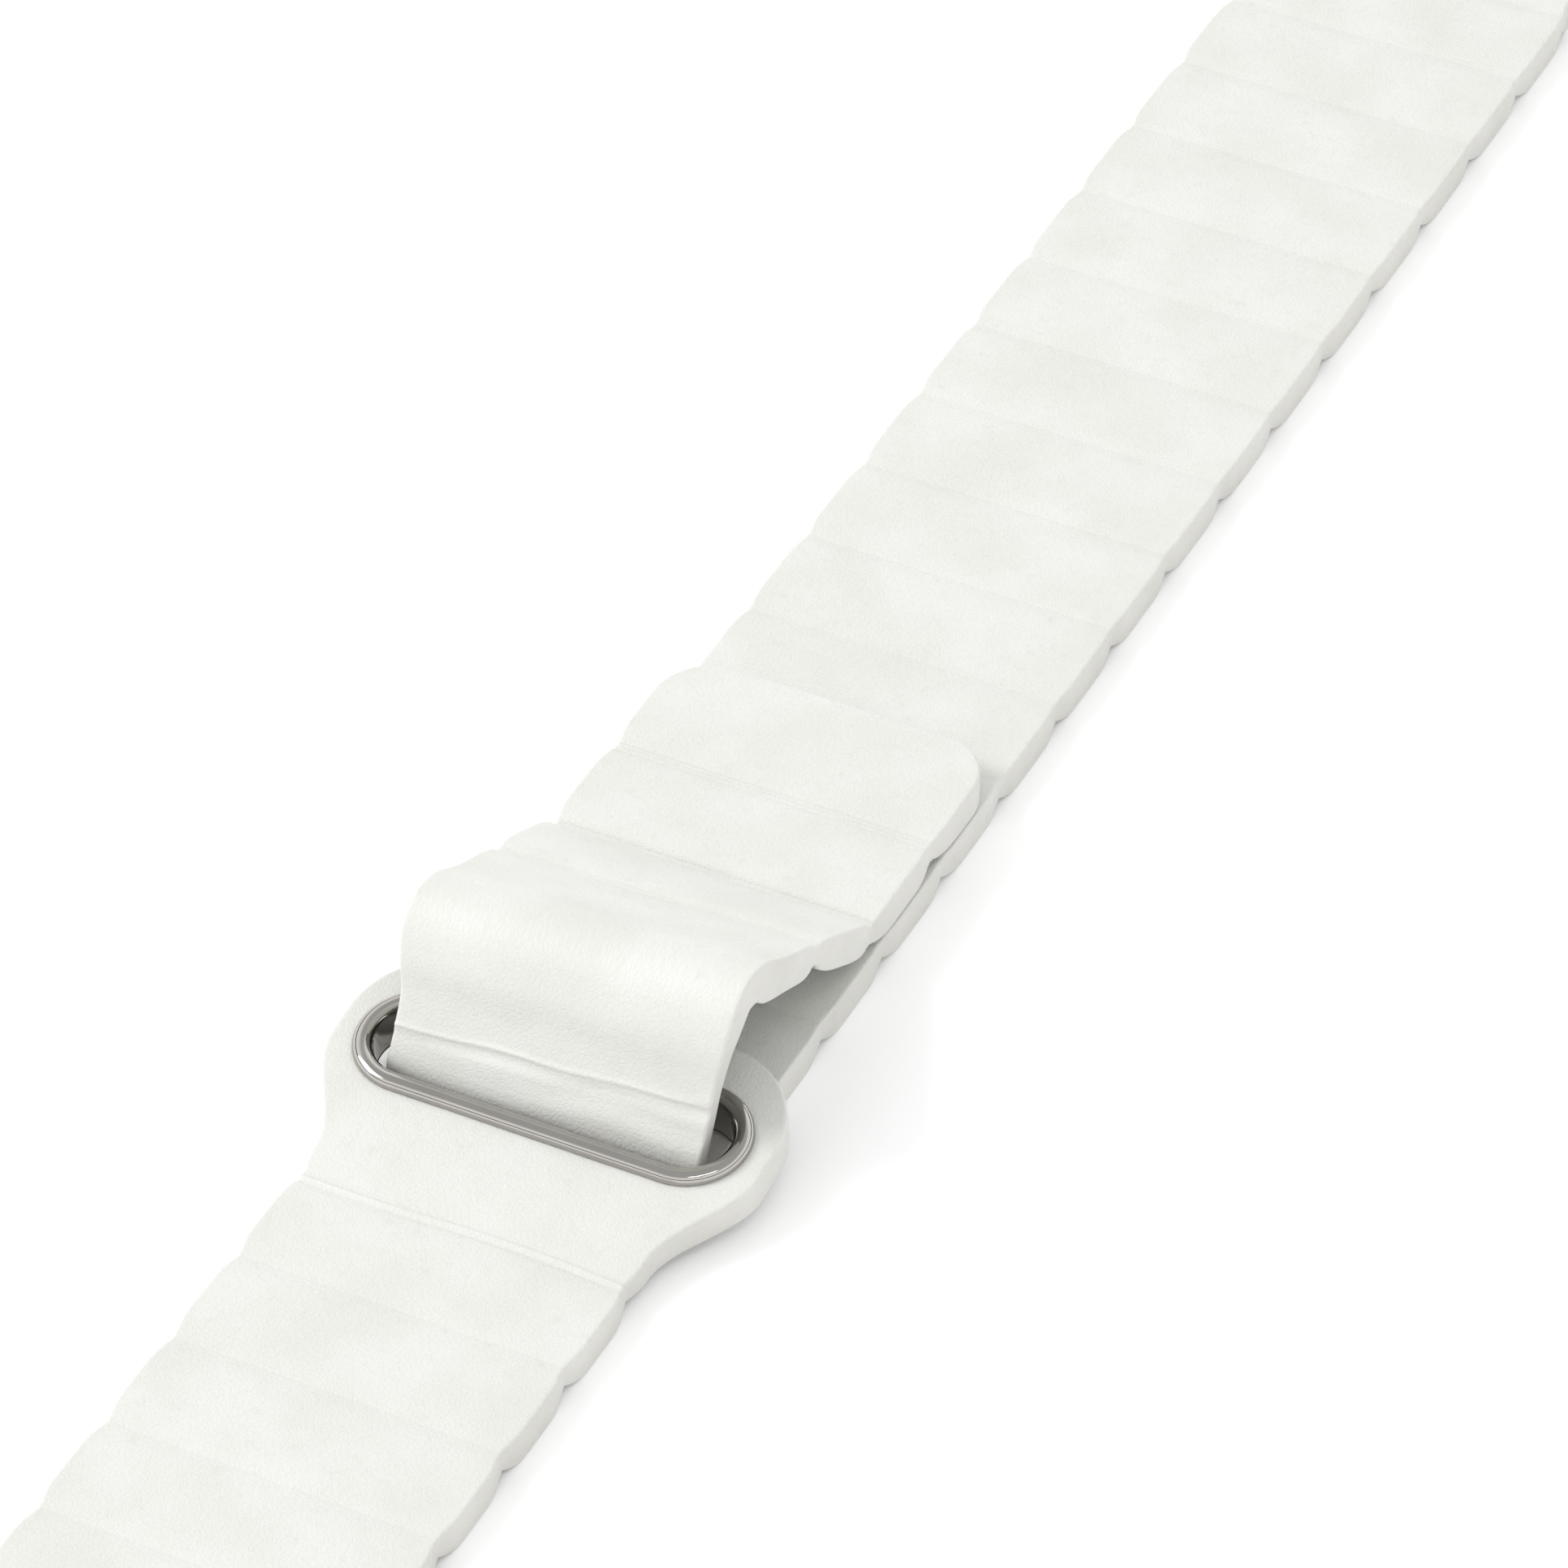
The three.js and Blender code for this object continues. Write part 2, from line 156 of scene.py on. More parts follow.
@dataclass(frozen=True)
class LeatherFinish:
    """Fine-grained calf leather, dyed nearly white."""

    name: str
    light: tuple[float, float, float]
    shade: tuple[float, float, float]
    roughness: float
    grain: float
    grain_size: float

    def build(self) -> bpy.types.Material:
        """Builds the material from the hide's own flat coordinates.

        Returns:
            The finished material.
        """
        material = bpy.data.materials.new(self.name)
        material.use_nodes = True
        tree = material.node_tree
        nodes, links = tree.nodes, tree.links
        shader = nodes["Principled BSDF"]
        hide = nodes.new("ShaderNodeAttribute")
        hide.attribute_name = "hide"

        cloud = self._noise(nodes, links, hide, 1 / (6.5 * MM), 3.0)
        fleck = self._noise(nodes, links, hide, 1 / (0.9 * MM), 2.0)
        tone = nodes.new("ShaderNodeMix")
        tone.data_type = "RGBA"
        tone.inputs["A"].default_value = (*self.shade, 1)
        tone.inputs["B"].default_value = (*self.light, 1)
        remap(tree, cloud.outputs["Fac"], tone.inputs["Factor"], from_min=0.32, from_max=0.62)

        speck = nodes.new("ShaderNodeMix")
        speck.data_type = "RGBA"
        speck.inputs["B"].default_value = (*[0.94 * c for c in self.shade], 1)
        remap(
            tree, fleck.outputs["Fac"], speck.inputs["Factor"],
            from_min=0.60, from_max=0.80, to_max=0.5,
        )
        links.new(tone.outputs["Result"], speck.inputs["A"])
        links.new(speck.outputs["Result"], shader.inputs["Base Color"])

        remap(
            tree, fleck.outputs["Fac"], shader.inputs["Roughness"],
            to_min=self.roughness - 0.07, to_max=self.roughness + 0.07,
        )

        pebble = nodes.new("ShaderNodeTexVoronoi")
        pebble.feature = "DISTANCE_TO_EDGE"
        pebble.inputs["Scale"].default_value = 1 / self.grain_size
        warp = self._noise(nodes, links, hide, 1 / (1.6 * self.grain_size), 2.0)
        bent = nodes.new("ShaderNodeVectorMath")
        bent.operation = "MULTIPLY_ADD"
        bent.inputs[1].default_value = (self.grain_size,) * 3
        links.new(warp.outputs["Color"], bent.inputs[0])
        links.new(hide.outputs["Vector"], bent.inputs[2])
        links.new(bent.outputs["Vector"], pebble.inputs["Vector"])
        wrinkle = self._noise(nodes, links, hide, 1 / (2.2 * MM), 5.0)
        relief = nodes.new("ShaderNodeMath")
        relief.operation = "MULTIPLY_ADD"
        relief.inputs[1].default_value = 0.35
        soft = remap(tree, pebble.outputs["Distance"], relief.inputs[0], from_max=0.22)
        soft.interpolation_type = "SMOOTHSTEP"
        links.new(wrinkle.outputs["Fac"], relief.inputs[2])
        bump = nodes.new("ShaderNodeBump")
        bump.inputs["Strength"].default_value = 1.0
        bump.inputs["Distance"].default_value = self.grain
        links.new(relief.outputs["Value"], bump.inputs["Height"])
        links.new(bump.outputs["Normal"], shader.inputs["Normal"])
        shader.inputs["Specular IOR Level"].default_value = 0.32
        shader.inputs["Sheen Weight"].default_value = 0.06
        shader.inputs["Sheen Roughness"].default_value = 0.5
        return material

    def _noise(
        self,
        nodes: bpy.types.Nodes,
        links: bpy.types.NodeLinks,
        hide: bpy.types.Node,
        scale: float,
        detail: float,
    ) -> bpy.types.Node:
        """Adds a noise that follows the hide.

        Args:
            nodes: the material's nodes.
            links: the material's links.
            hide: the node that gives the hide's flat coordinates.
            scale: how many features there are in a metre.
            detail: how many finer layers it has.

        Returns:
            The noise node.
        """
        node = nodes.new("ShaderNodeTexNoise")
        node.inputs["Scale"].default_value = scale
        node.inputs["Detail"].default_value = detail
        links.new(hide.outputs["Vector"], node.inputs["Vector"])
        return node


@dataclass(frozen=True)
class SteelFinish:
    """Polished steel with faint handling marks."""

    name: str
    color: tuple[float, float, float]
    roughness: float

    def build(self) -> bpy.types.Material:
        """Builds the material.

        Returns:
            The finished material.
        """
        material = bpy.data.materials.new(self.name)
        material.use_nodes = True
        tree = material.node_tree
        nodes, links = tree.nodes, tree.links
        shader = nodes["Principled BSDF"]
        shader.inputs["Metallic"].default_value = 1.0
        place = nodes.new("ShaderNodeTexCoord")
        smear = nodes.new("ShaderNodeTexNoise")
        smear.inputs["Scale"].default_value = 1 / (2.4 * MM)
        smear.inputs["Detail"].default_value = 4.0
        links.new(place.outputs["Object"], smear.inputs["Vector"])
        tone = nodes.new("ShaderNodeMix")
        tone.data_type = "RGBA"
        tone.inputs["A"].default_value = (*self.color, 1)
        tone.inputs["B"].default_value = (*[0.86 * c for c in self.color], 1)
        links.new(smear.outputs["Fac"], tone.inputs["Factor"])
        links.new(tone.outputs["Result"], shader.inputs["Base Color"])
        remap(
            tree, smear.outputs["Fac"], shader.inputs["Roughness"],
            to_min=self.roughness * 0.7, to_max=self.roughness * 1.5,
        )
        bump = nodes.new("ShaderNodeBump")
        bump.inputs["Strength"].default_value = 0.25
        bump.inputs["Distance"].default_value = 0.01 * MM
        links.new(smear.outputs["Fac"], bump.inputs["Height"])
        links.new(bump.outputs["Normal"], shader.inputs["Normal"])
        return material


@dataclass
class Wardrobe:
    """Every finish of the strap, built once."""

    leather: bpy.types.Material = field(init=False)
    edge: bpy.types.Material = field(init=False)
    steel: bpy.types.Material = field(init=False)
    bar: bpy.types.Material = field(init=False)
    magnet: bpy.types.Material = field(init=False)

    def __post_init__(self) -> None:
        """Builds the materials."""
        white, grey = (0.612, 0.612, 0.586), (0.580, 0.578, 0.548)
        hide = LeatherFinish("strap_leather", white, grey, 0.58, 0.035 * MM, 0.34 * MM)
        # The edge paint is a little darker than the leather: partly the painted edge's own tone,
        # partly painted shade on the strap's side walls.
        paint = LeatherFinish("edge_paint_and_painted_shade", (0.585, 0.58, 0.55), (0.54, 0.535, 0.505), 0.5,
                              0.02 * MM, 0.2 * MM)
        self.leather = hide.build()
        self.edge = paint.build()
        self.steel = SteelFinish("eyelet_steel", (0.42, 0.405, 0.38), 0.07).build()
        self.bar = SteelFinish("bar_steel", (0.62, 0.61, 0.60), 0.22).build()
        self.magnet = SteelFinish("magnet_plate", (0.50, 0.50, 0.51), 0.35).build()


# ------------------------------------------------------------------ modelling helpers


def pick_only(piece: bpy.types.Object) -> None:
    """Makes one object the only selected and active one.

    Args:
        piece: the object.
    """
    clear_selection()
    piece.select_set(True)
    bpy.context.view_layer.objects.active = piece


def clear_selection() -> None:
    """Deselects every object, so that an operator acts on what it adds alone."""
    bpy.ops.object.select_all(action="DESELECT")


def coordinates(piece: bpy.types.Object) -> np.ndarray:
    """Reads a mesh's vertices.

    Args:
        piece: the mesh object.

    Returns:
        One row of three numbers for each vertex, in metres.
    """
    flat = np.empty(len(piece.data.vertices) * 3, dtype=np.float32)
    piece.data.vertices.foreach_get("co", flat)
    return flat.reshape(-1, 3).astype(float)


def write_coordinates(piece: bpy.types.Object, places: np.ndarray) -> None:
    """Writes a mesh's vertices.

    Args:
        piece: the mesh object.
        places: one row of three numbers for each vertex, in metres.
    """
    piece.data.vertices.foreach_set("co", places.astype(np.float32).ravel())
    piece.data.update()


def apply_modifiers(piece: bpy.types.Object) -> None:
    """Applies every modifier of a piece.

    Args:
        piece: the object.
    """
    pick_only(piece)
    for modifier in list(piece.modifiers):
        bpy.ops.object.modifier_apply(modifier=modifier.name)


def smooth(piece: bpy.types.Object, degrees: float) -> None:
    """Shades a piece smooth, apart from edges sharper than an angle.

    Args:
        piece: the object.
        degrees: the angle.
    """
    pick_only(piece)
    bpy.ops.object.shade_smooth_by_angle(angle=math.radians(degrees))


def ease(value: np.ndarray) -> np.ndarray:
    """Eases from 0 to 1 with level ends.

    Args:
        value: how far along, which is clipped to 0 and 1.

    Returns:
        The eased share.
    """
    share = np.clip(value, 0, 1)
    return share * share * (3 - 2 * share)


def bell(value: np.ndarray, centre: float, width: float) -> np.ndarray:
    """Gives a smooth bump that is 1 at its centre and falls to 0 on both sides.

    Args:
        value: the places.
        centre: the bump's centre.
        width: how far out it has fallen to about a third.

    Returns:
        The bump's height at each place.
    """
    return np.exp(-(((value - centre) / width) ** 2))


# ------------------------------------------------------------------ route and hide


class Route:
    """The middle line of a leather part in the side plane, by its length from one end."""

    def __init__(self, points: list[Vector]) -> None:
        """Keeps the line and measures it.

        Args:
            points: the line's points, as (Y, Z), closely spaced where it curves.
        """
        self.points = np.array([[p.x, p.y] for p in points])
        steps = np.linalg.norm(np.diff(self.points, axis=0), axis=1)
        self.lengths = np.concatenate([[0], np.cumsum(steps)])

    def at(self, along: np.ndarray) -> np.ndarray:
        """Finds points on the line.

        Args:
            along: lengths from its start.

        Returns:
            (Y, Z) for each length.
        """
        y = np.interp(along, self.lengths, self.points[:, 0])
        z = np.interp(along, self.lengths, self.points[:, 1])
        return np.stack([y, z], axis=1)

    def heading(self, along: np.ndarray) -> np.ndarray:
        """Finds the line's direction.

        Args:
            along: lengths from its start.

        Returns:
            A unit (Y, Z) direction for each length.
        """
        reach = 0.35 * MM
        ahead = self.at(np.minimum(along + reach, self.lengths[-1]))
        behind = self.at(np.maximum(along - reach, 0))
        step = ahead - behind
        return step / np.linalg.norm(step, axis=1)[:, None]

    def length_at(self, place: Vector) -> float:
        """Finds the length at which the line passes closest to a point.

        Args:
            place: the point, as (Y, Z).

        Returns:
            The length from the line's start.
        """
        fine = np.linspace(0, self.lengths[-1], 40000)
        gaps = np.linalg.norm(self.at(fine) - np.array([place.x, place.y]), axis=1)
        return float(fine[int(np.argmin(gaps))])


def curve_through(knots: list[Vector], spacing: float) -> list[Vector]:
    """Runs a Catmull-Rom curve through knots.

    Args:
        knots: the points, as (Y, Z).
        spacing: about how far apart its points are.

    Returns:
        Points on the curve, the first and last knot included.
    """
    ends = [2 * knots[0] - knots[1], *knots, 2 * knots[-1] - knots[-2]]
    line = []
    for i in range(len(knots) - 1):
        a, b, c, d = ends[i : i + 4]
        count = max(2, int((c - b).length / spacing))
        for k in range(count):
            t = k / count
            slope, bend, twist = c - a, 2 * a - 5 * b + 4 * c - d, 3 * b - a - 3 * c + d
            line.append(b + 0.5 * (slope * t + bend * t * t + twist * t * t * t))
    return [*line, knots[-1]]


@dataclass
class Quilting:
    """The relief of a leather part: cells between grooves, and plain panels."""

    grooves: list[float]
    mids: list[float]
    face_grooves: list[float]
    back_grooves: list[float]
    flat: float = 2.2 * MM
    crease_depth: float = 0.022 * MM
    bold_depth: float = 0.11 * MM
    bold_before: float = 0.0
    crease_spread: float = 0.40 * MM
    crease_width: float = 0.13 * MM

    def _thickness(self, along: np.ndarray, depths: list[float]) -> np.ndarray:
        """Gives one face's height over the middle line.

        Args:
            along: lengths along the route.
            depths: the face's height at each groove.

        Returns:
            The height for each length.
        """
        edges = np.array(self.grooves)
        cell = np.clip(np.searchsorted(edges, along) - 1, 0, len(self.mids) - 1)
        low, high = edges[cell], edges[cell + 1]
        half = (high - low) / 2
        offset = along - (low + high) / 2
        run = (np.abs(offset) - self.flat / 2) / (half - self.flat / 2)
        share = np.clip(run, 0, 1)
        drop = 1 - (1 - share**2.3) ** 0.62
        level = np.array(self.mids)[cell]
        near = np.where(offset < 0, np.array(depths)[cell], np.array(depths)[cell + 1])
        return level - (level - near) * drop

    def _creases(self, along: np.ndarray) -> np.ndarray:
        """Gives the two fine pressed lines beside each groove.

        Args:
            along: lengths along the route.

        Returns:
            How deep they press for each length.
        """
        nearest = np.min(np.abs(along[:, None] - np.array(self.grooves)[None, :]), axis=1)
        across = (nearest - self.crease_spread) / self.crease_width
        depth = np.where(along < self.bold_before, self.bold_depth, self.crease_depth)
        return depth * np.exp(-(across**2))

    def face(self, across: np.ndarray, along: np.ndarray) -> np.ndarray:
        """Gives the height of the outer face over the middle line.

        Args:
            across: places across the strap; not used.
            along: lengths along the route.

        Returns:
            The height at each place.
        """
        return self._thickness(along, self.face_grooves) - self._creases(along)

    def back(self, across: np.ndarray, along: np.ndarray) -> np.ndarray:
        """Gives the height of the lining face under the middle line.

        Args:
            across: places across the strap; not used.
            along: lengths along the route.

        Returns:
            The height at each place.
        """
        return self._thickness(along, self.back_grooves) - self._creases(along)


@dataclass
class Hide:
    """One piece of leather: cut flat, quilted, and laid along its route."""

    name: str
    route: Route
    start: float
    finish: float
    half_width: Callable[[np.ndarray], np.ndarray]
    face: Height
    back: Height
    fine_at: list[float]
    lift: Height | None = None
    closed_start: bool = False
    closed_finish: bool = False
    blank_width: float = 22 * MM
    blank_half: float = LEATHER_HALF
    shoulder: float = 0.2 * MM
    coarse: float = 0.36 * MM
    fine: float = 0.09 * MM
    columns: int = 44

    def cut(self) -> bpy.types.Object:
        """Cuts the flat blank and rounds its long edges.

        Returns:
            The blank, with X across, Y along the route and Z through the leather.
        """
        rows = self._rows()
        clear_selection()
        bpy.ops.mesh.primitive_grid_add(
            x_subdivisions=self.columns, y_subdivisions=len(rows) - 1, size=2
        )
        piece = bpy.context.active_object
        piece.name = self.name
        piece.data.name = self.name
        places = coordinates(piece)
        column = np.round((places[:, 0] + 1) / 2 * self.columns)
        row = np.round((places[:, 1] + 1) / 2 * (len(rows) - 1)).astype(int)
        share = column / self.columns * 2 - 1
        spread = np.sin(share * math.pi / 2) * 0.35 + share * 0.65
        places[:, 0] = spread * self.blank_width / 2
        places[:, 1] = np.array(rows)[row]
        places[:, 2] = -self.blank_half
        write_coordinates(piece, places)
        bpy.ops.object.mode_set(mode="EDIT")
        bpy.ops.mesh.select_all(action="SELECT")
        bpy.ops.mesh.extrude_region_move(
            TRANSFORM_OT_translate={"value": (0, 0, 2 * self.blank_half)}
        )
        bpy.ops.mesh.select_all(action="SELECT")
        bpy.ops.mesh.normals_make_consistent(inside=False)
        self._round_edges(piece)
        bpy.ops.object.mode_set(mode="OBJECT")
        return piece

    def _rows(self) -> list[float]:
        """Chooses how far apart the rows are: close at grooves, wider between.

        Returns:
            The length of each row along the route.
        """
        rows = [self.start]
        while rows[-1] < self.finish - 1e-9:
            gap = min((abs(rows[-1] - g) for g in self.fine_at), default=1.0)
            step = self.fine if gap < 0.65 * MM else self.coarse
            rows.append(min(rows[-1] + step, self.finish))
        if rows[-1] - rows[-2] < 0.4 * self.fine:
            rows.pop(-2)
        return rows

    def _round_edges(self, piece: bpy.types.Object) -> None:
        """Rounds the long edges, and the end edges where the piece ends freely.

        Args:
            piece: the blank, in edit mode.
        """
        bpy.ops.mesh.select_mode(type="EDGE")
        bpy.ops.mesh.select_all(action="DESELECT")
        bpy.ops.object.mode_set(mode="OBJECT")
        side = self.blank_width / 2 - TINY
        level = self.blank_half - TINY
        for edge in piece.data.edges:
            a, b = (piece.data.vertices[v].co for v in edge.vertices)
            flat = abs(a.z) > level and abs(b.z) > level and a.z * b.z > 0
            long_edge = abs(a.x) > side and abs(b.x) > side
            head = self.closed_start and max(a.y, b.y) < self.start + TINY
            tail = self.closed_finish and min(a.y, b.y) > self.finish - TINY
            edge.select = flat and (long_edge or head or tail)
        bpy.ops.object.mode_set(mode="EDIT")
        bpy.ops.mesh.bevel(offset=self.shoulder, segments=3, affect="EDGES", clamp_overlap=False)

    def quilt(self, piece: bpy.types.Object) -> None:
        """Presses the relief into the flat blank and trims it to its width.

        Args:
            piece: the blank.
        """
        places = coordinates(piece)
        across, along, through = places.T
        width = self.half_width(along)
        across_now = across * width / (self.blank_width / 2)
        ripple = np.array(
            [
                noise.noise(Vector((x / (5 * MM), s / (4 * MM), 3.1)))
                + 0.35 * noise.noise(Vector((x / (1.3 * MM), s / (1.1 * MM), 7.7)))
                for x, s in zip(across_now, along)
            ]
        )
        relief = 0.035 * MM * ripple
        inset = self.blank_half - np.abs(through)
        up = self.face(across_now, along) + relief - inset
        down = -(self.back(across_now, along) + relief - inset)
        places[:, 0] = across_now
        places[:, 2] = np.where(through > 0, up, down)
        write_coordinates(piece, places)

    def mark(self, piece: bpy.types.Object, wardrobe: Wardrobe) -> None:
        """Stores the hide's flat coordinates and gives the side walls their edge paint, darker
        partly as painted shade.

        Args:
            piece: the quilted blank, still flat.
            wardrobe: the finishes.
        """
        hide = piece.data.attributes.new("hide", "FLOAT_VECTOR", "POINT")
        hide.data.foreach_set("vector", coordinates(piece).astype(np.float32).ravel())
        piece.data.materials.clear()
        piece.data.materials.append(wardrobe.leather)
        piece.data.materials.append(wardrobe.edge)
        for face in piece.data.polygons:
            # Sideways faces take the edge paint, whose darker tone is partly painted shade on the
            # side walls.
            wall = abs(face.normal.z) < 0.3
            face.material_index = 1 if wall else 0

    def lay(self, piece: bpy.types.Object) -> None:
        """Lays the flat piece along its route.

        Args:
            piece: the quilted blank.
        """
        places = coordinates(piece)
        line = self.route.at(places[:, 1])
        heading = self.route.heading(places[:, 1])
        through = places[:, 2]
        raised = 0.0 if self.lift is None else self.lift(places[:, 0], places[:, 1])
        places[:, 1] = line[:, 0] - heading[:, 1] * through
        places[:, 2] = line[:, 1] + heading[:, 0] * through + raised
        write_coordinates(piece, places)

    def make(self, wardrobe: Wardrobe) -> bpy.types.Object:
        """Makes the finished piece of leather.

        Args:
            wardrobe: the finishes.

        Returns:
            The piece in place.
        """
        piece = self.cut()
        self.quilt(piece)
        self.mark(piece, wardrobe)
        self.lay(piece)
        smooth(piece, LEATHER_EDGE_ANGLE)
        return piece


def bend_at(
    piece: bpy.types.Object
) -> None:
    """Bakes a piece's placement into its mesh.

    Args:
        piece: the piece.
    """
    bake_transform(piece)


def cut_out(piece: bpy.types.Object, cutter: bpy.types.Object) -> None:
    """Cuts a hole in a piece and removes the cutter.

    Args:
        piece: the piece to cut.
        cutter: the solid to take away.
    """
    hole = piece.modifiers.new("hole", "BOOLEAN")
    hole.operation = "DIFFERENCE"
    hole.solver = "EXACT"
    hole.object = cutter
    apply_modifiers(piece)
    bpy.data.objects.remove(cutter, do_unlink=True)


def mark_again(piece: bpy.types.Object, along: float, place: Vector) -> None:
    """Stores the hide's flat coordinates afresh on a cut piece that lies nearly flat.

    Args:
        piece: the cut piece.
        along: a length along its route.
        place: the middle line's place at that length.
    """
    old = piece.data.attributes.get("hide")
    if old is not None:
        piece.data.attributes.remove(old)
    flat = coordinates(piece) - np.array([0, place.y - along, place.z])
    hide = piece.data.attributes.new("hide", "FLOAT_VECTOR", "POINT")
    hide.data.foreach_set("vector", flat.astype(np.float32).ravel())


# ------------------------------------------------------------------ the ends at the watch case


@dataclass
class EndLoop:
    """The leather loop around a quick-release bar, as heights over a part's middle line."""

    bar_along: float
    groove_along: float
    outward: Course
    radius: float = LOOP_RADIUS
    strap_half: float = LEATHER_HALF
    bore: float = 1.0 * MM
    knob_inset: float = 4.2 * MM
    knob_room: float = 0.7 * MM
    travel: float = 1.6 * MM
    inset: float = 0.4 * MM
    neck: float = 4.6 * MM
    neck_run: float = 4.2 * MM
    clear_of_groove: float = 0.9 * MM
    join_run: float = 1.6 * MM
    punch_length: float = 30 * MM

    def heights(self, along: np.ndarray, level: np.ndarray, side: Face) -> np.ndarray:
        """Swells one face from the strap's thickness to the loop's round end.

        Args:
            along: lengths along the route.
            level: the height that the quilting gives.
            side: the face.

        Returns:
            The height at each length.
        """
        offset = (along - self.bar_along) * self.outward.value
        past = (along - self.groove_along) * self.outward.value
        rise = side.value * (self.radius - self.strap_half)
        round_end = np.sqrt(np.clip(self.radius**2 - np.maximum(offset, 0) ** 2, 0, None))
        swell = ease((offset + self.neck) / self.neck_run)
        body = self.strap_half + (self.radius + rise - self.strap_half) * swell
        looped = np.where(offset > 0, round_end + rise, body)
        joined = level + (looped - level) * ease(past / self.join_run)
        return np.where(past > self.clear_of_groove, joined, level)

    def open_up(self, piece: bpy.types.Object, bar: Vector) -> None:
        """Bores the loop for its bar and cuts the notch for the knob.

        Args:
            piece: the leather of the end.
            bar: the bar's middle.
        """
        clear_selection()
        bpy.ops.mesh.primitive_cylinder_add(
            radius=self.bore, depth=self.punch_length, vertices=40, location=bar,
            rotation=(0, math.pi / 2, 0),
        )
        cut_out(piece, bpy.context.active_object)
        knob_x = self.outward.value * (STRAP_HALF_WIDTH - self.knob_inset - self.travel / 2)
        clear_selection()
        bpy.ops.mesh.primitive_cube_add(
            size=1, location=(knob_x, bar.y, bar.z - self.radius), scale=(
                self.travel + 2 * self.knob_room, 2 * self.knob_room, 2 * self.radius)
        )
        cut_out(piece, bpy.context.active_object)


class LeatherPart:
    """What the strap's two leather parts share: notched sides, and pieces cut by length."""

    notch_reach: float = 2.4 * MM
    notch_sharpness: float = 1.6
    route: Route
    lift: Height | None = None

    def _notched(self, along: np.ndarray, grooves: list[float]) -> np.ndarray:
        """Gives half the strap's width with a small notch at each groove.

        Args:
            along: lengths along the route.
            grooves: the grooves' lengths.

        Returns:
            Half the width at each length.
        """
        nearest = np.min(np.abs(along[:, None] - np.array(grooves)[None, :]), axis=1)
        depth = (1 - ease(nearest / self.notch_reach)) ** self.notch_sharpness
        return self.half_width - self.notch * depth

    def _hide(self, name: str, start: float, finish: float, **ends: bool) -> Hide:
        """Prepares one piece of this part's leather.

        Args:
            name: the piece's name.
            start: its first length along the route.
            finish: its last length.
            ends: which of its ends are free.

        Returns:
            The piece, ready to make.
        """
        return Hide(
            name, self.route, start, finish, self.width_at, self.face_at, self.back_at,
            self.fine_at, lift=self.lift, **ends,
        )


# ------------------------------------------------------------------ the long part


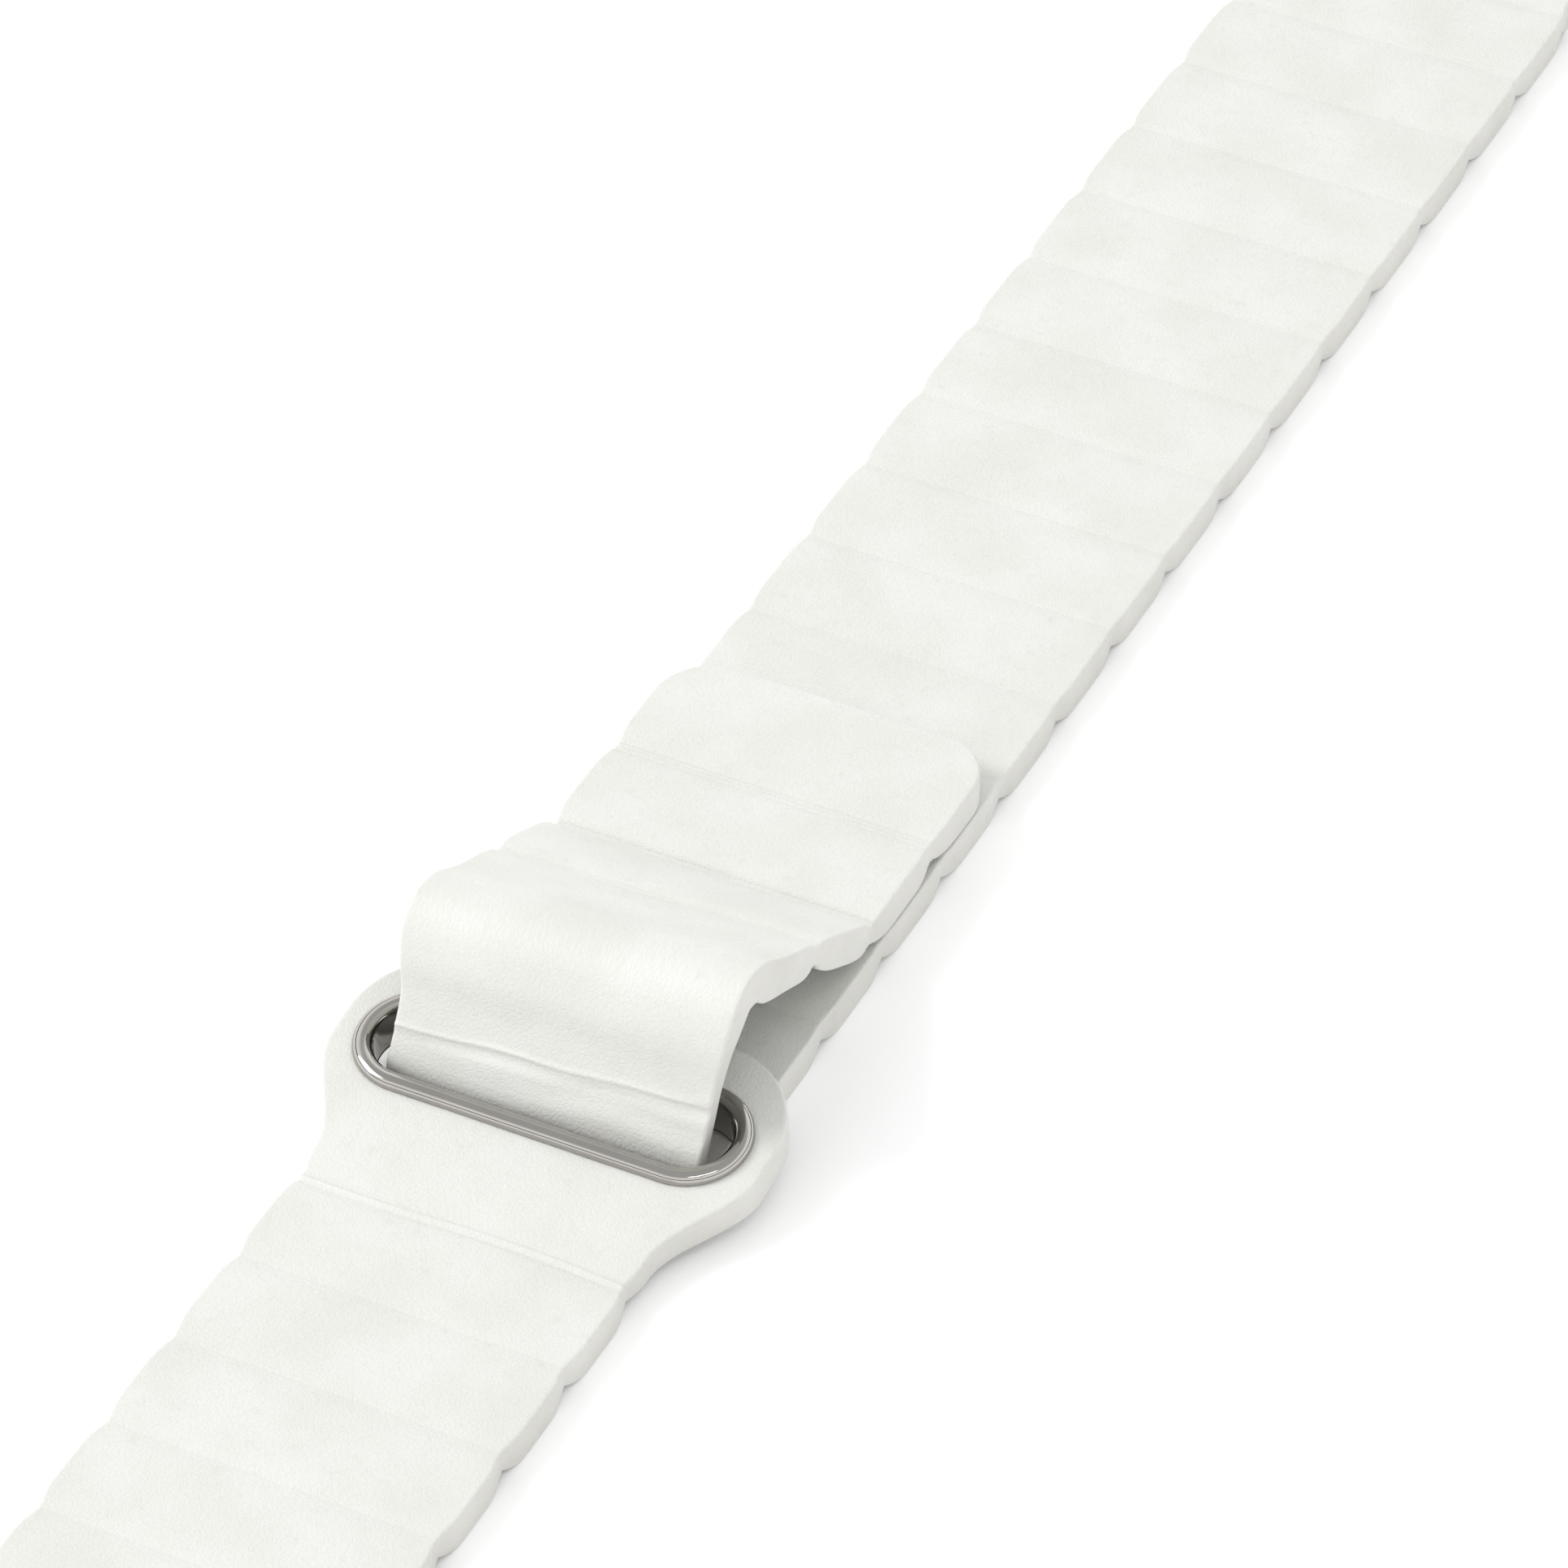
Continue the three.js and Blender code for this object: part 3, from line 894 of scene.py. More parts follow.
@dataclass
class LongPart(LeatherPart):
    """The part that passes through the eyelet and folds back over itself."""

    wardrobe: Wardrobe
    pitch: float = 8.4 * MM
    cells: int = 15
    root_cells: int = 4
    middle_height: float = LEATHER_HALF
    first_groove: float = 5.6 * MM
    tip_length: float = 9.75 * MM
    tip_corner: float = 4.0 * MM
    fold_half: float = 0.6 * MM
    fold_half_width: float = 10.4 * MM
    fold_lean: float = 62.0
    fold_rise: float = 5.6 * MM
    fold_bend: float = 2.1 * MM
    fold_floor_gap: float = 0.1 * MM
    crest_lead: float = 1.7 * MM
    crest_drop: float = 0.25 * MM
    shoulder_drop: float = 0.8 * MM
    arch_bulge: float = 0.4 * MM
    arch_lift: float = 1.3 * MM
    crease_reach: float = 7.8 * MM
    crease_slant: float = 0.065
    slot_half: float = 2.7 * MM
    slot_front_gap: float = 1.0 * MM
    half_width: float = STRAP_HALF_WIDTH
    notch: float = 0.2 * MM
    lip_bulge: float = 0.55 * MM
    flap_groove: float = 0.5 * MM
    face_groove: float = 0.90 * MM
    back_groove: float = 0.36 * MM
    flap_backs: tuple[float, ...] = (0.5, 0.78, 0.60, 0.58, 1.15)
    swell_height: float = 0.75 * MM
    swell_past_crest: float = 0.2 * MM
    swell_width: float = 3.0 * MM
    thin_past_crest: float = 1.5 * MM
    crease_height: float = 0.09 * MM
    wrinkle_height: float = 0.045 * MM
    fold_past_crest: float = 2.6 * MM

    def __post_init__(self) -> None:
        """Finds the grooves from the frame's joints and lays out the route."""
        self.flap = [joint_place(f"flap_cell_{i}_lift") for i in (1, 2, 3)]
        self.flap.append(joint_place("flap_tip_lift"))
        first_bend = joint_place(f"long_cell_{self.root_cells + 1:02d}_bend")
        self.groove_y = [
            first_bend.y + (i - self.root_cells) * self.pitch for i in range(self.cells + 1)
        ]
        self.slot_y = self.groove_y[0] - self.first_groove
        self.bar = middle("long_spring_bar")
        self.route = self._lay_out()
        self._measure()

    def _lay_out(self) -> Route:
        """Lays out the middle line from the folded-back tip to the bar at the watch case.

        Returns:
            The route.
        """
        sides = [Vector((p.y, p.z)) for p in self.flap]
        tip = sides[3] + Vector((self.tip_length, 0))
        knots = [tip, sides[3]]
        for near, far in ((2, 3), (1, 2), (0, 1)):
            chord = (sides[far] - sides[near]).normalized()
            if near < 2:
                knots.append(sides[far] - chord * self.pitch * 0.25)
            knots.append(sides[near] + chord * self.pitch * 0.25)
            knots.append(sides[near])
        lead = (sides[1] - sides[0]).normalized()
        lean = math.radians(self.fold_lean)
        rise = Vector((math.cos(lean), math.sin(lean)))
        front = self.slot_y - (self.slot_half - self.slot_front_gap - self.fold_half)
        under = self.fold_half + self.fold_floor_gap
        turn = Vector((front + self.fold_bend, under + self.fold_bend))
        upright = Vector((front, turn.y))
        crest = sides[0] - lead * self.crest_lead - Vector((0, self.crest_drop))
        shoulder = upright + rise * (self.fold_rise - self.shoulder_drop)
        span = crest - shoulder
        outward = Vector((-span.y, span.x)).normalized()
        knots.append(crest)
        knots.append((crest + shoulder) / 2 + outward * self.arch_bulge)
        knots.append(shoulder)
        knots.append(upright + rise * self.fold_rise * 0.4)
        quarter = [math.pi + k * math.pi / 8 for k in range(5)]
        knots += [turn + self.fold_bend * Vector((math.cos(a), math.sin(a))) for a in quarter]
        knots.append(Vector((turn.x + 1.6 * MM, under)))
        start = Vector((self.groove_y[0], self.middle_height))
        knots.append(start - Vector((1.65 * MM, 0.2 * MM)))
        knots.append(start)
        knots.append(start + Vector((1.2 * MM, 0)))
        line = curve_through(knots, KNOT_SPACING)
        end = Vector((self.bar.y + LOOP_RADIUS, self.middle_height))
        return Route([*line, end])

    def _measure(self) -> None:
        """Measures the grooves along the route and sets the relief at each."""
        flap = [self.route.length_at(Vector((p.y, p.z))) for p in reversed(self.flap)]
        self.along_flap = list(reversed(flap))
        bottom = [
            self.route.length_at(Vector((y, self.middle_height))) for y in self.groove_y
        ]
        self.along_bottom = bottom
        end = float(self.route.lengths[-1])
        grooves = [-self.pitch / 3, *flap, *bottom, end + self.pitch / 3]
        thick, plain = self.middle_height, self.fold_half
        mids = [thick] * 4 + [plain] + [thick] * (self.cells + 1)
        count = len(bottom)
        self.quilting = Quilting(
            grooves=grooves,
            mids=mids,
            face_grooves=[self.flap_groove] * len(self.flap_backs)
            + [self.face_groove] * count
            + [self.flap_groove],
            back_grooves=[back * MM for back in self.flap_backs]
            + [self.back_groove] * count
            + [self.flap_groove],
            bold_before=flap[-1] - 2 * MM,
        )
        self.crease = self.along_flap[0] + self.crease_reach
        self.fine_at = [*self.along_flap, *bottom, self.crease, self.crease + 0.6 * MM]
        self.fold_start = self.along_flap[0] + self.fold_past_crest
        self.lift = self.lift_at
        self.loop = EndLoop(
            bar_along=end - LOOP_RADIUS, groove_along=bottom[-1], outward=Course.FORWARD
        )

    def width_at(self, along: np.ndarray) -> np.ndarray:
        """Gives half the strap's width: notched at grooves, narrow at the fold, round at the tip.

        Args:
            along: lengths along the route.

        Returns:
            Half the width at each length.
        """
        width = self._notched(along, [*self.along_flap[1:], *self.along_bottom])
        width = width + self.lip_bulge * bell(along - self.crease, 1.5 * MM, 1.1 * MM)
        into = ease((along - self.along_flap[0] - 2.0 * MM) / (5.0 * MM))
        out = 1 - ease((along - self.along_bottom[0] + 3.0 * MM) / (3.0 * MM))
        narrow = np.minimum(into, out)
        width = width + (self.fold_half_width - width) * narrow
        corner = np.clip(self.tip_corner - along, 0, self.tip_corner)
        round_tip = np.sqrt(self.tip_corner**2 - corner**2) - self.tip_corner
        width = width + round_tip
        end = ease((along - self.along_bottom[-1]) / (1.5 * MM))
        return width - self.loop.inset * end

    def face_at(self, across: np.ndarray, along: np.ndarray) -> np.ndarray:
        """Gives the outer face's height: the face that is up on the flat run.

        Args:
            across: places across the strap.
            along: lengths along the route.

        Returns:
            The height at each place.
        """
        level = self.quilting.face(across, along)
        return self.loop.heights(along, level, Face.OUTER)

    def back_at(self, across: np.ndarray, along: np.ndarray) -> np.ndarray:
        """Gives the lining face's height, with the creases where the panel leaves the eyelet.

        Args:
            across: places across the strap.
            along: lengths along the route.

        Returns:
            The height at each place.
        """
        level = self.quilting.back(across, along)
        level = self.loop.heights(along, level, Face.LINING)
        flush = np.exp(-(((along - self.along_flap[0]) / (1.3 * MM)) ** 4))
        level = level + (self.middle_height - level) * flush
        arch = (along > self.along_flap[0]) & (along < self.along_bottom[0])
        run = self.crease - self.along_flap[0] - self.thin_past_crest
        thin = ease((along - self.along_flap[0] - self.thin_past_crest) / run)
        level = np.where(arch, self.middle_height + (level - self.middle_height) * thin, level)
        swell = bell(along - self.along_flap[0], self.swell_past_crest, self.swell_width)
        level = level + self.swell_height * swell
        wave = 0.10 * MM * np.sin(across / (4.1 * MM)) + 0.06 * MM * np.sin(across / (1.3 * MM) + 1)
        past = along - self.crease + self.crease_slant * across - wave
        ridge = self.crease_height * bell(past, 0, 0.14 * MM)
        dip = self.crease_height * bell(past, 0.55 * MM, 0.35 * MM)
        folds = np.sin(past / (0.34 * MM) + 1.3 * np.sin(across / (2.3 * MM)))
        inside = ease(past / (0.6 * MM)) * (1 - ease((past - 2.6 * MM) / (1.2 * MM)))
        return level + ridge - dip + self.wrinkle_height * folds * inside

    def lift_at(self, across: np.ndarray, along: np.ndarray) -> np.ndarray:
        """Gives how far the arch's one side stands over its other, as soft leather does.

        Args:
            across: places across the strap.
            along: lengths along the route.

        Returns:
            The lift at each place.
        """
        near, far = self.along_flap[0], self.along_flap[2]
        rise = ease((along - far) / (near - far))
        fall = 1 - ease((along - near) / (self.crease + 2.5 * MM - near))
        return self.arch_lift * np.minimum(rise, fall) * (0.5 + across / (2 * self.half_width))

    def build(self) -> int:
        """Makes the leather, from the folded-back tip to the watch case.

        Returns:
            How many pieces it made.
        """
        flap = self._build_flap() + self._raise_magnets()
        return flap + self._build_fold() + self._build_cells()

    def _build_flap(self) -> int:
        """Makes the folded-back end, a piece across each of its grooves.

        Returns:
            How many pieces it made.
        """
        bodies = ["loop_root", "flap_cell_1", "flap_cell_2", "flap_cell_3", "flap_tip"]
        starts = [self.fold_start]
        starts += [
            (self.along_flap[i] + self.along_flap[i + 1]) / 2 for i in range(3)
        ]
        starts.append(0.0)
        for i in range(4):
            last = i == 3
            hide = self._hide(
                f"flap_leather_{i + 1}", starts[i + 1], starts[i], closed_start=last
            )
            piece = hide.make(self.wardrobe)
            near = self.route.heading(np.array([self.along_flap[i]]))[0]
            bend_at(piece)
            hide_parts(bodies[i + 1])
            log.info("%s bends at %s", piece.name, bodies[i + 1])
        return 4

    def _raise_magnets(self) -> int:
        """Makes the flap's first two magnets again, raised as the leather round them is.

        Returns:
            How many pieces it made.
        """
        for i in (1, 2):
            node = frame["nodes"][f"flap_cell_{i}_magnet"]
            piece = bpy.data.objects.new(f"flap_magnet_{i}", node.data.copy())
            bpy.context.scene.collection.objects.link(piece)
            pick_only(piece)
            bpy.ops.object.mode_set(mode="EDIT")
            bpy.ops.mesh.select_all(action="SELECT")
            bpy.ops.mesh.remove_doubles(threshold=0.001 * MM)
            bpy.ops.object.mode_set(mode="OBJECT")
            places = coordinates(piece)
            along = np.array([self.route.length_at(Vector((y, z))) for _, y, z in places])
            places[:, 2] += self.lift_at(places[:, 0], along)
            write_coordinates(piece, places)
            piece.data.materials.clear()
            piece.data.materials.append(self.wardrobe.magnet)
            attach(piece, f"flap_cell_{i}")
            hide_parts(f"flap_cell_{i}_magnet")
            log.info("%s rides on flap_cell_%d", piece.name, i)
        return 2

    def _build_fold(self) -> int:
        """Makes the panel through the eyelet with the cells that the flap lies on.

        Returns:
            How many pieces it made.
        """
        finish = (self.along_bottom[3] + self.along_bottom[4]) / 2
        piece = self._hide("fold_leather", self.fold_start, finish).make(self.wardrobe)
        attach(piece, "loop_root")
        roots = [f"long_cell_{i:02d}" for i in range(1, self.root_cells + 1)]
        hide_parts("fold_panel", *roots)
        log.info("%s rides on loop_root", piece.name)
        return 1

    def _build_cells(self) -> int:
        """Makes the cells beyond the fold, a piece across each groove, and the end loop.

        Returns:
            How many pieces it made.
        """
        names = [f"long_cell_{i:02d}" for i in range(self.root_cells, self.cells + 1)]
        ends = [*names[1:], "long_end_loop"]
        for i, node in enumerate(ends):
            groove = self.root_cells + i
            start = (self.along_bottom[groove - 1] + self.along_bottom[groove]) / 2
            last = node == "long_end_loop"
            if last:
                finish = float(self.route.lengths[-1])
            else:
                finish = (self.along_bottom[groove] + self.along_bottom[groove + 1]) / 2
            piece = self._hide(f"long_leather_{groove:02d}", start, finish).make(self.wardrobe)
            place = Vector((0, self.groove_y[groove], self.middle_height))
            if last:
                self.loop.open_up(piece, self.bar)
                mark_again(piece, self.along_bottom[groove], place)
            bend_at(piece)
            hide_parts(node)
        return len(ends)


# ------------------------------------------------------------------ the short part


@dataclass
class ShortPart(LeatherPart):
    """The part with the slotted head: it runs from the other side of the watch case."""

    wardrobe: Wardrobe
    pitch: float = 7.7 * MM
    cells: int = 7
    middle_height: float = LEATHER_HALF
    half_width: float = STRAP_HALF_WIDTH
    head_half_width: float = 14.3 * MM
    head_crease: float = 11.6 * MM
    head_toe: float = 7.2 * MM
    head_corner: float = 6.2 * MM
    head_tilt: float = 8.0
    flare_back: float = 9.4 * MM
    flare_front: float = -1.2 * MM
    slot_half: float = 2.7 * MM
    slot_half_width: float = 11.7 * MM
    eyelet_wall: float = 0.45 * MM
    notch: float = 0.3 * MM
    end_groove: float = 0.5 * MM
    face_groove: float = 0.99 * MM
    back_groove: float = 0.3 * MM
    head_face_groove: float = 1.04 * MM
    head_back_groove: float = 0.4 * MM
    beyond_head: float = 14 * MM
    ridge_height: float = 0.10 * MM
    press_depth: float = 0.09 * MM

    def __post_init__(self) -> None:
        """Finds the grooves from the frame's joints and lays out the route."""
        crease = joint_place("short_cell_1_bend")
        self.slot_y = crease.y + self.head_crease
        self.groove_y = [crease.y - i * self.pitch for i in range(self.cells + 1)]
        self.bar = middle("short_spring_bar")
        tilt = math.radians(self.head_tilt)
        self.head_origin = Vector(
            (0, self.slot_y, self.middle_height + math.sin(tilt) * self.head_crease)
        )
        self.route = self._lay_out()
        flat = [
            self.route.length_at(Vector((y, self.middle_height))) for y in self.groove_y[1:]
        ]
        self.crease_along = self.route.length_at(Vector((crease.y, self.middle_height)))
        self.along = [self.crease_along, *flat]
        self.fine_at = self.along
        self.centre_along = self.route.length_at(
            Vector((self.head_origin.y, self.head_origin.z))
        )
        self.loop = EndLoop(
            bar_along=LOOP_RADIUS, groove_along=flat[-1], outward=Course.BACKWARD
        )
        end = float(self.route.lengths[-1])
        grooves = [-self.pitch / 3, *reversed(self.along), end + self.beyond_head]
        count = len(self.along)
        self.quilting = Quilting(
            grooves=grooves,
            mids=[self.middle_height] * (count + 1),
            face_grooves=[self.end_groove]
            + [self.face_groove] * (count - 1)
            + [self.head_face_groove, LEATHER_HALF],
            back_grooves=[self.end_groove]
            + [self.back_groove] * (count - 1)
            + [self.head_back_groove, LEATHER_HALF],
            crease_depth=0.012 * MM,
        )

    def _lay_out(self) -> Route:
        """Lays out the middle line from the bar at the watch case to the head's free end.

        Returns:
            The route.
        """
        tilt = math.radians(self.head_tilt)
        climb = Vector((math.cos(tilt), math.sin(tilt)))
        origin = Vector((self.head_origin.y, self.head_origin.z))
        crease = Vector((self.groove_y[0], self.middle_height))
        start = Vector((self.bar.y - LOOP_RADIUS, self.middle_height))
        knots = [crease - Vector((2.0 * MM, 0)), crease, origin - climb * 9.4 * MM]
        knots += [origin - climb * 4 * MM, origin + climb * self.head_toe]
        return Route([start, *curve_through(knots, KNOT_SPACING)])

    def width_at(self, along: np.ndarray) -> np.ndarray:
        """Gives half the width: notched at grooves, flared at the head, round at its toe.

        Args:
            along: lengths along the route.

        Returns:
            Half the width at each length.
        """
        width = self._notched(along, self.along)
        past = along - self.centre_along
        flare = ease((past + self.flare_back) / (self.flare_back + self.flare_front))
        width = width + (self.head_half_width - width) * flare
        corner = np.clip(past - (self.head_toe - self.head_corner), 0, self.head_corner)
        width = width + np.sqrt(self.head_corner**2 - corner**2) - self.head_corner
        end = ease((self.along[-1] - along) / (1.5 * MM))
        return width - self.loop.inset * end

    def face_at(self, across: np.ndarray, along: np.ndarray) -> np.ndarray:
        """Gives the outer face's height, with the raised line where the head starts.

        Args:
            across: places across the strap.
            along: lengths along the route.

        Returns:
            The height at each place.
        """
        level = self.loop.heights(along, self.quilting.face(across, along), Face.OUTER)
        wave = 0.2 * MM * np.sin(across / (3.3 * MM) + 0.6)
        past = along - self.crease_along - wave
        ridge = self.ridge_height * bell(past, 0, 0.16 * MM)
        press = self.press_depth * bell(past, -0.42 * MM, 0.2 * MM)
        return level + ridge - press

    def back_at(self, across: np.ndarray, along: np.ndarray) -> np.ndarray:
        """Gives the lining face's height.

        Args:
            across: places across the strap.
            along: lengths along the route.

        Returns:
            The height at each place.
        """
        return self.loop.heights(along, self.quilting.back(across, along), Face.LINING)

    def build(self) -> int:
        """Makes the head and the cells behind it.

        Returns:
            How many pieces it made.
        """
        self._build_head()
        for i in range(1, self.cells + 1):
            last = i == self.cells
            finish = (self.along[i - 1] + self.along[i]) / 2
            start = 0.0 if last else (self.along[i] + self.along[i + 1]) / 2
            piece = self._hide(f"short_leather_{i + 1}", start, finish).make(self.wardrobe)
            place = Vector((0, self.groove_y[i], self.middle_height))
            if last:
                self.loop.open_up(piece, self.bar)
                mark_again(piece, self.along[i], place)
            second = "short_end" if last else f"short_cell_{i + 1}"
            bend_at(piece)
            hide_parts("short_end_loop" if last else second)
            log.info("%s bends from short_cell_%d to %s", piece.name, i, second)
        return self.cells + 1

    def _build_head(self) -> None:
        """Makes the slotted head, out to the middle of the first cell behind it."""
        start = (self.along[0] + self.along[1]) / 2
        finish = float(self.route.lengths[-1])
        piece = self._hide("head_hide", start, finish, closed_finish=True).make(self.wardrobe)
        cut_out(piece, self._slot_cutter())
        smooth(piece, LEATHER_EDGE_ANGLE)
        crease = Vector((0, self.groove_y[0], self.middle_height))
        mark_again(piece, self.crease_along, crease)
        bend_at(piece)
        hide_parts("head_leather", "head_lining", "short_cell_1")
        log.info("%s bends from head to short_cell_1", piece.name)

    def _slot_cutter(self) -> bpy.types.Object:
        """Makes the punch that cuts the head's slot.

        Returns:
            A solid with the slot's round ends, across the tilted head.
        """
        radius = self.slot_half + self.eyelet_wall + 0.2 * MM
        reach = self.slot_half_width - self.slot_half
        clear_selection()
        bpy.ops.mesh.primitive_cylinder_add(
            radius=radius, depth=8 * MM, vertices=64, location=self.head_origin
        )
        punch = bpy.context.active_object
        bpy.ops.object.transform_apply(location=False, rotation=True, scale=True)
        places = coordinates(punch)
        places[:, 0] += np.sign(np.round(places[:, 0], 7)) * reach
        write_coordinates(punch, places)
        punch.rotation_euler.x = math.radians(self.head_tilt)
        return punch


# ------------------------------------------------------------------ the eyelet


@dataclass
class Eyelet:
    """The polished steel eyelet: a lipped tube through the head, and the ring under it."""

    wardrobe: Wardrobe
    head: ShortPart
    lip: float = 1.25 * MM
    wall: float = 0.42 * MM
    rise: float = 0.62 * MM
    leather_half: float = LEATHER_HALF
    shadow_gap: float = 0.07 * MM
    steps: int = 40

    def _outline(self) -> list[tuple[float, float]]:
        """Draws the section: a round lip outside, and the tube's wall inside.

        Returns:
            (distance out from the opening, height over the head's middle), going round.
        """
        foot = self.leather_half + 0.02 * MM
        points = []
        for k in range(13):
            a = math.pi * k / 12
            out = self.lip / 2 * (1 + math.cos(a))
            rise = self.rise * math.sin(a) ** 0.8
            points.append((out, foot + (self.shadow_gap if k == 0 else rise)))
        points.append((0.0, 0.3 * MM))
        points.append((0.0, -self.leather_half * 0.6))
        points.append((0.05 * MM, -self.leather_half))
        points.append((self.wall, -self.leather_half))
        points.append((self.wall, 0.0))
        points.append((self.wall, foot))
        return points

    def _ring_outline(self) -> list[tuple[float, float]]:
        """Draws the section of the ring underneath.

        Returns:
            (distance out from the opening, height over the head's middle), going round.
        """
        top = -self.leather_half - 0.03 * MM
        points = []
        for k in range(11):
            a = -math.pi * k / 10
            out = self.lip * 0.42 * (1 + math.cos(a)) + 0.02 * MM
            points.append((out, top + 0.36 * MM * math.sin(a)))
        return points

    def _sweep(self, name: str, outline: list[tuple[float, float]]) -> bpy.types.Object:
        """Sweeps a section round the slot.

        Args:
            name: the piece's name.
            outline: the section.

        Returns:
            The closed piece, level and centred on the slot.
        """
        reach = self.head.slot_half_width - self.head.slot_half
        clear_selection()
        bpy.ops.mesh.primitive_circle_add(vertices=len(outline), radius=1.0)
        piece = bpy.context.active_object
        piece.name = name
        piece.data.name = name
        section = [(reach, -self.head.slot_half - out, height) for out, height in outline]
        write_coordinates(piece, np.array(section))
        bpy.ops.object.mode_set(mode="EDIT")
        bpy.ops.mesh.select_all(action="SELECT")
        for side in (1, -1):
            bpy.ops.mesh.spin(
                steps=self.steps, angle=-math.pi, center=(side * reach, 0, 0), axis=(0, 0, 1)
            )
            bpy.ops.mesh.extrude_region_move(
                TRANSFORM_OT_translate={"value": (-side * 2 * reach, 0, 0)}
            )
        bpy.ops.mesh.select_all(action="SELECT")
        bpy.ops.mesh.remove_doubles(threshold=0.002 * MM)
        bpy.ops.mesh.normals_make_consistent(inside=False)
        bpy.ops.object.mode_set(mode="OBJECT")
        return piece

    def _seat(self, piece: bpy.types.Object) -> None:
        """Tilts a level piece with the head and puts it in its place.

        Args:
            piece: the piece.
        """
        tilt = Matrix.Rotation(math.radians(self.head.head_tilt), 4, "X")
        piece.data.transform(Matrix.Translation(self.head.head_origin) @ tilt)
        piece.data.materials.clear()
        piece.data.materials.append(self.wardrobe.steel)
        smooth(piece, STEEL_EDGE_ANGLE)
        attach(piece, "head")

    def build(self) -> int:
        """Makes the eyelet and its ring.

        Returns:
            How many pieces it made.
        """
        lip = self._sweep("eyelet_lip", self._outline())
        self._seat(lip)
        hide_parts("eyelet")
        ring = self._sweep("eyelet_backing", self._ring_outline())
        self._seat(ring)
        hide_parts("eyelet_ring")
        log.info("eyelet: %s and %s ride on head", lip.name, ring.name)
        return 2


# ------------------------------------------------------------------ steel and magnets


def dress_hardware(wardrobe: Wardrobe) -> int:
    """Gives the frame's bars, tips and magnets their finishes.

    Args:
        wardrobe: the finishes.

    Returns:
        How many pieces it dressed.
    """
    dressed = 0
    for name, node in frame["nodes"].items():
        if name.endswith("_magnet"):
            finish = wardrobe.magnet
        elif name.endswith("_spring_bar") or name.endswith("_sliding_tip"):
            finish = wardrobe.bar
        else:
            continue
        for place in node.material_slots:
            place.material = finish
        dressed += 1
    return dressed


# ------------------------------------------------------------------ studio


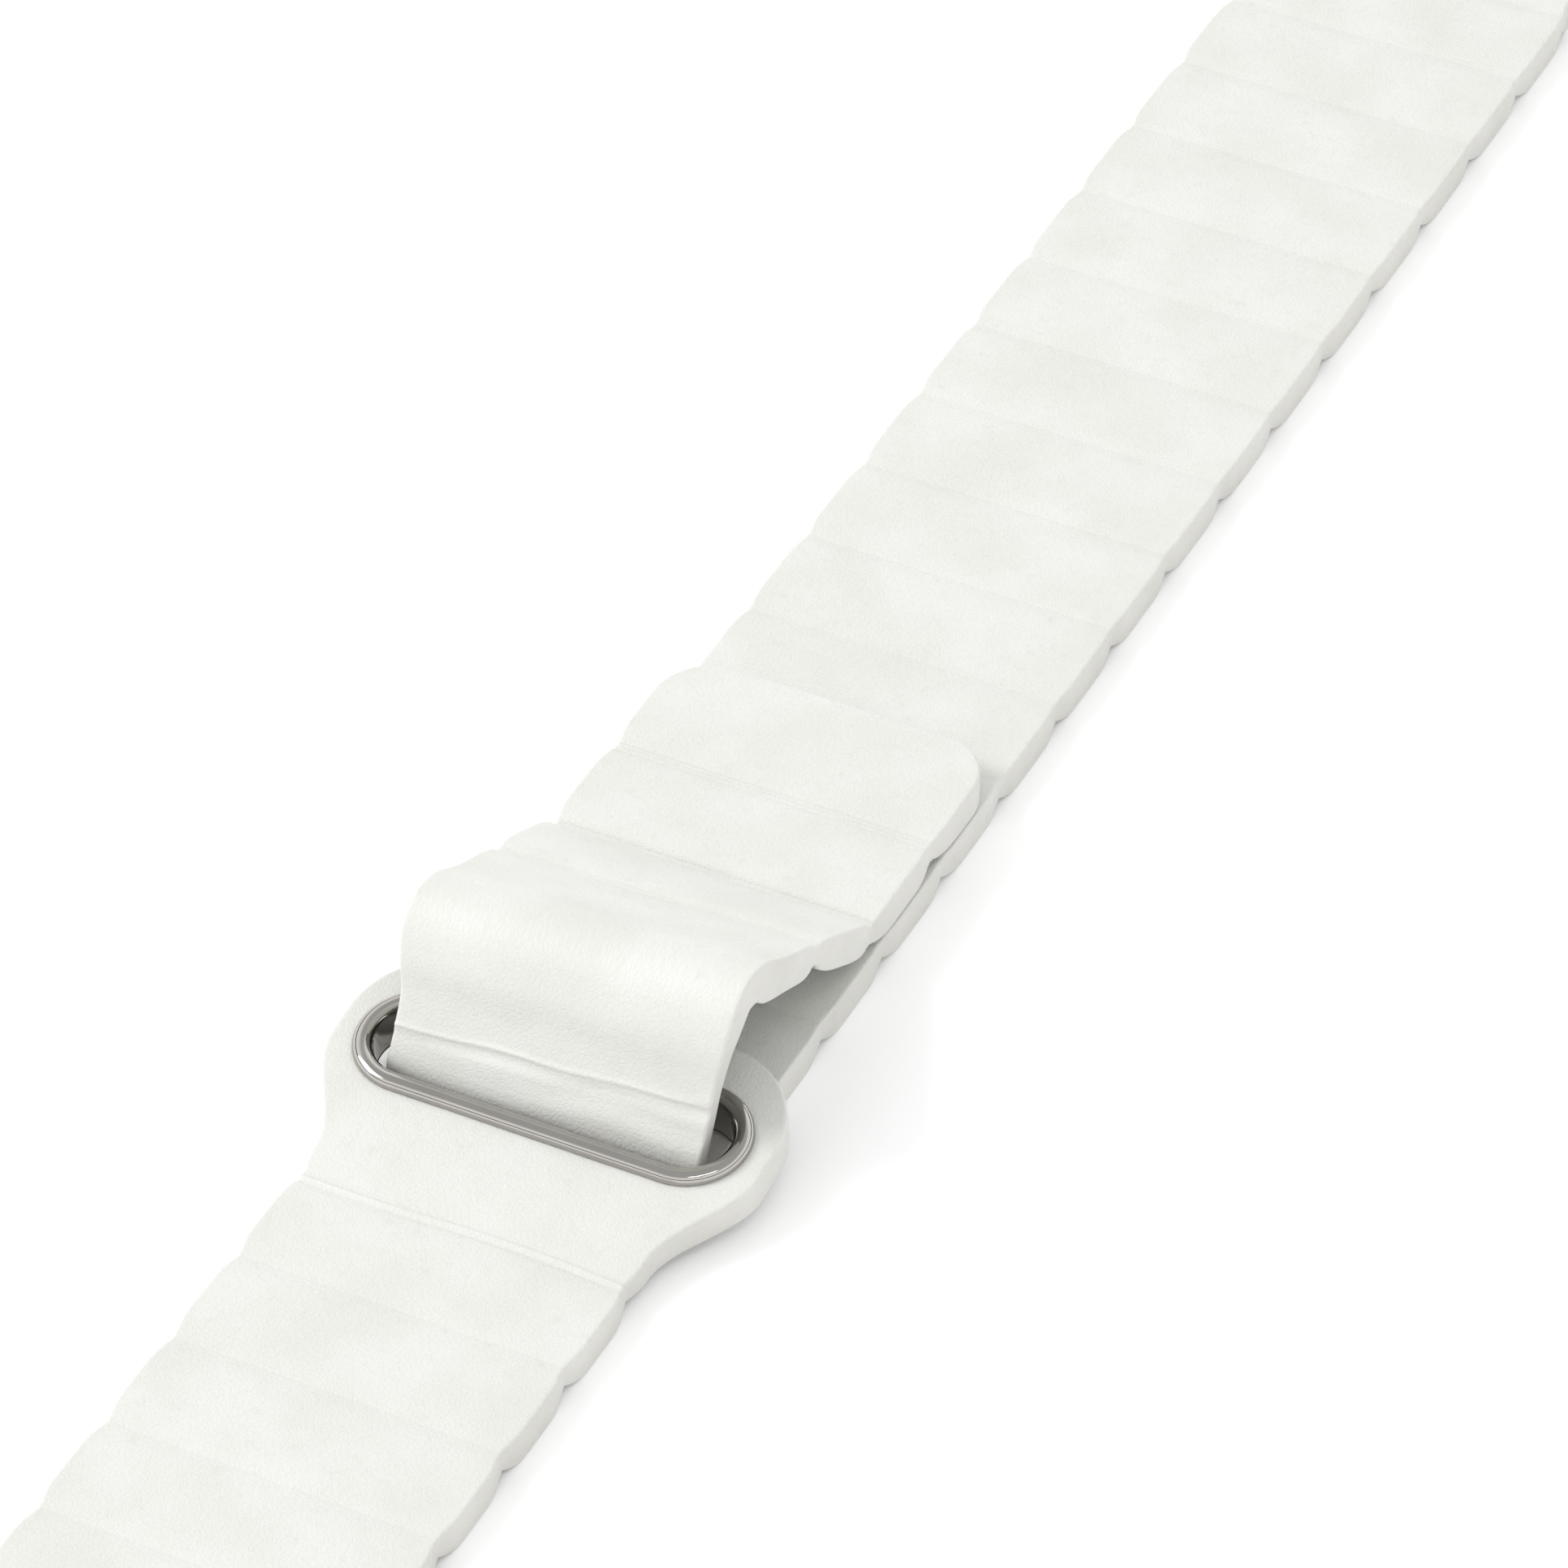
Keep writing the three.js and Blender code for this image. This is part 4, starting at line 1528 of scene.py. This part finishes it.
@dataclass
class Studio:
    """A white table, soft overhead light, and the camera."""

    eyelet: Vector
    azimuth: float = 25.93
    elevation: float = 40.07
    roll: float = 0.45
    reach: float = 500.874 * MM
    slide_right: float = 13.633 * MM
    slide_up: float = 20.926 * MM
    lens: float = 193.66
    table_size: float = 12.0
    table_white: float = 0.97
    room_strength: float = 1.50

    def build(self) -> None:
        """Makes the table, the lights and the camera."""
        self._table()
        self._lights()
        self._camera()

    def _table(self) -> None:
        """Lays the white table under the strap."""
        clear_selection()
        bpy.ops.mesh.primitive_plane_add(size=self.table_size, location=(0, 0, 0))
        table = bpy.context.active_object
        table.name = "table"
        paint = bpy.data.materials.new("table_white")
        paint.use_nodes = True
        shader = paint.node_tree.nodes["Principled BSDF"]
        shader.inputs["Base Color"].default_value = (*(self.table_white,) * 3, 1)
        shader.inputs["Roughness"].default_value = 0.9
        shader.inputs["Specular IOR Level"].default_value = 0.1
        table.data.materials.append(paint)

    def _softbox(
        self, name: str, place: Vector, size: float, power: float, stretch: float = 1.0
    ) -> None:
        """Hangs one soft light, aimed at the eyelet.

        Args:
            name: the light's name.
            place: where it hangs, from the eyelet.
            size: its width.
            power: its power in watts.
            stretch: its height as a share of its width.
        """
        data = bpy.data.lights.new(name, "AREA")
        data.shape = "RECTANGLE"
        data.size = size
        data.size_y = size * stretch
        data.energy = power
        lamp = bpy.data.objects.new(name, data)
        bpy.context.scene.collection.objects.link(lamp)
        lamp.location = self.eyelet + place
        lamp.rotation_mode = "QUATERNION"
        lamp.rotation_quaternion = (-place).to_track_quat("-Z", "Y")

    def _lights(self) -> None:
        """Hangs the soft lights and sets the bright room."""
        self._softbox("key", Vector((-0.88, -0.30, 0.80)), 0.60, 8.6)
        self._softbox("glint", Vector((0.45, -0.45, 1.30)), 0.70, 1.6, stretch=0.1)
        world = bpy.data.worlds.new("room")
        bpy.context.scene.world = world
        world.use_nodes = True
        nodes, links = world.node_tree.nodes, world.node_tree.links
        room = nodes["Background"]
        place = nodes.new("ShaderNodeTexCoord")
        split = nodes.new("ShaderNodeSeparateXYZ")
        links.new(place.outputs["Generated"], split.inputs["Vector"])
        ramp = nodes.new("ShaderNodeValToRGB")
        stops = ramp.color_ramp.elements
        stops[0].color = (1.0, 1.0, 1.0, 1)
        stops[1].color = (0.50, 0.50, 0.50, 1)
        bands = ((0.29, 1.0), (0.33, 0.10), (0.43, 0.10), (0.47, 1.05), (0.72, 1.0), (0.83, 0.5))
        for position, level in bands:
            stops.new(position).color = (level, level, level, 1)
        links.new(split.outputs["Z"], ramp.inputs["Fac"])
        links.new(ramp.outputs["Color"], room.inputs["Color"])
        room.inputs["Strength"].default_value = self.room_strength

    def _camera(self) -> None:
        """Sets the camera over the near side of the strap."""
        azimuth, elevation = math.radians(self.azimuth), math.radians(self.elevation)
        back = Vector((
            math.sin(azimuth) * math.cos(elevation),
            -math.cos(azimuth) * math.cos(elevation),
            math.sin(elevation),
        ))
        right = Vector((math.cos(azimuth), math.sin(azimuth), 0))
        up = back.cross(right)
        roll = math.radians(self.roll)
        right, up = (
            math.cos(roll) * right + math.sin(roll) * up,
            math.cos(roll) * up - math.sin(roll) * right,
        )
        data = bpy.data.cameras.new("camera")
        data.lens = self.lens
        data.sensor_width = 36
        data.clip_start, data.clip_end = 0.02, 40
        camera = bpy.data.objects.new("camera", data)
        bpy.context.scene.collection.objects.link(camera)
        ground = Vector((self.eyelet.x, self.eyelet.y, 0))
        place = ground + back * self.reach + right * self.slide_right + up * self.slide_up
        axes = Matrix((right, up, back)).transposed().to_4x4()
        camera.matrix_world = Matrix.Translation(place) @ axes
        bpy.context.scene.camera = camera


def main() -> None:
    """Builds the strap and its studio."""
    logging.basicConfig(level=logging.INFO, format="%(name)s: %(message)s")
    scene = bpy.context.scene
    scene.view_settings.view_transform = "Standard"
    scene.view_settings.look = "None"
    wardrobe = Wardrobe()
    short_part = ShortPart(wardrobe)
    Studio(short_part.head_origin).build()
    log.info("long part: %d pieces", LongPart(wardrobe).build())
    log.info("short part: %d pieces", short_part.build())
    log.info("eyelet: %d pieces", Eyelet(wardrobe, short_part).build())
    log.info("hardware: %d pieces", dress_hardware(wardrobe))


if __name__ == "__main__":
    main()
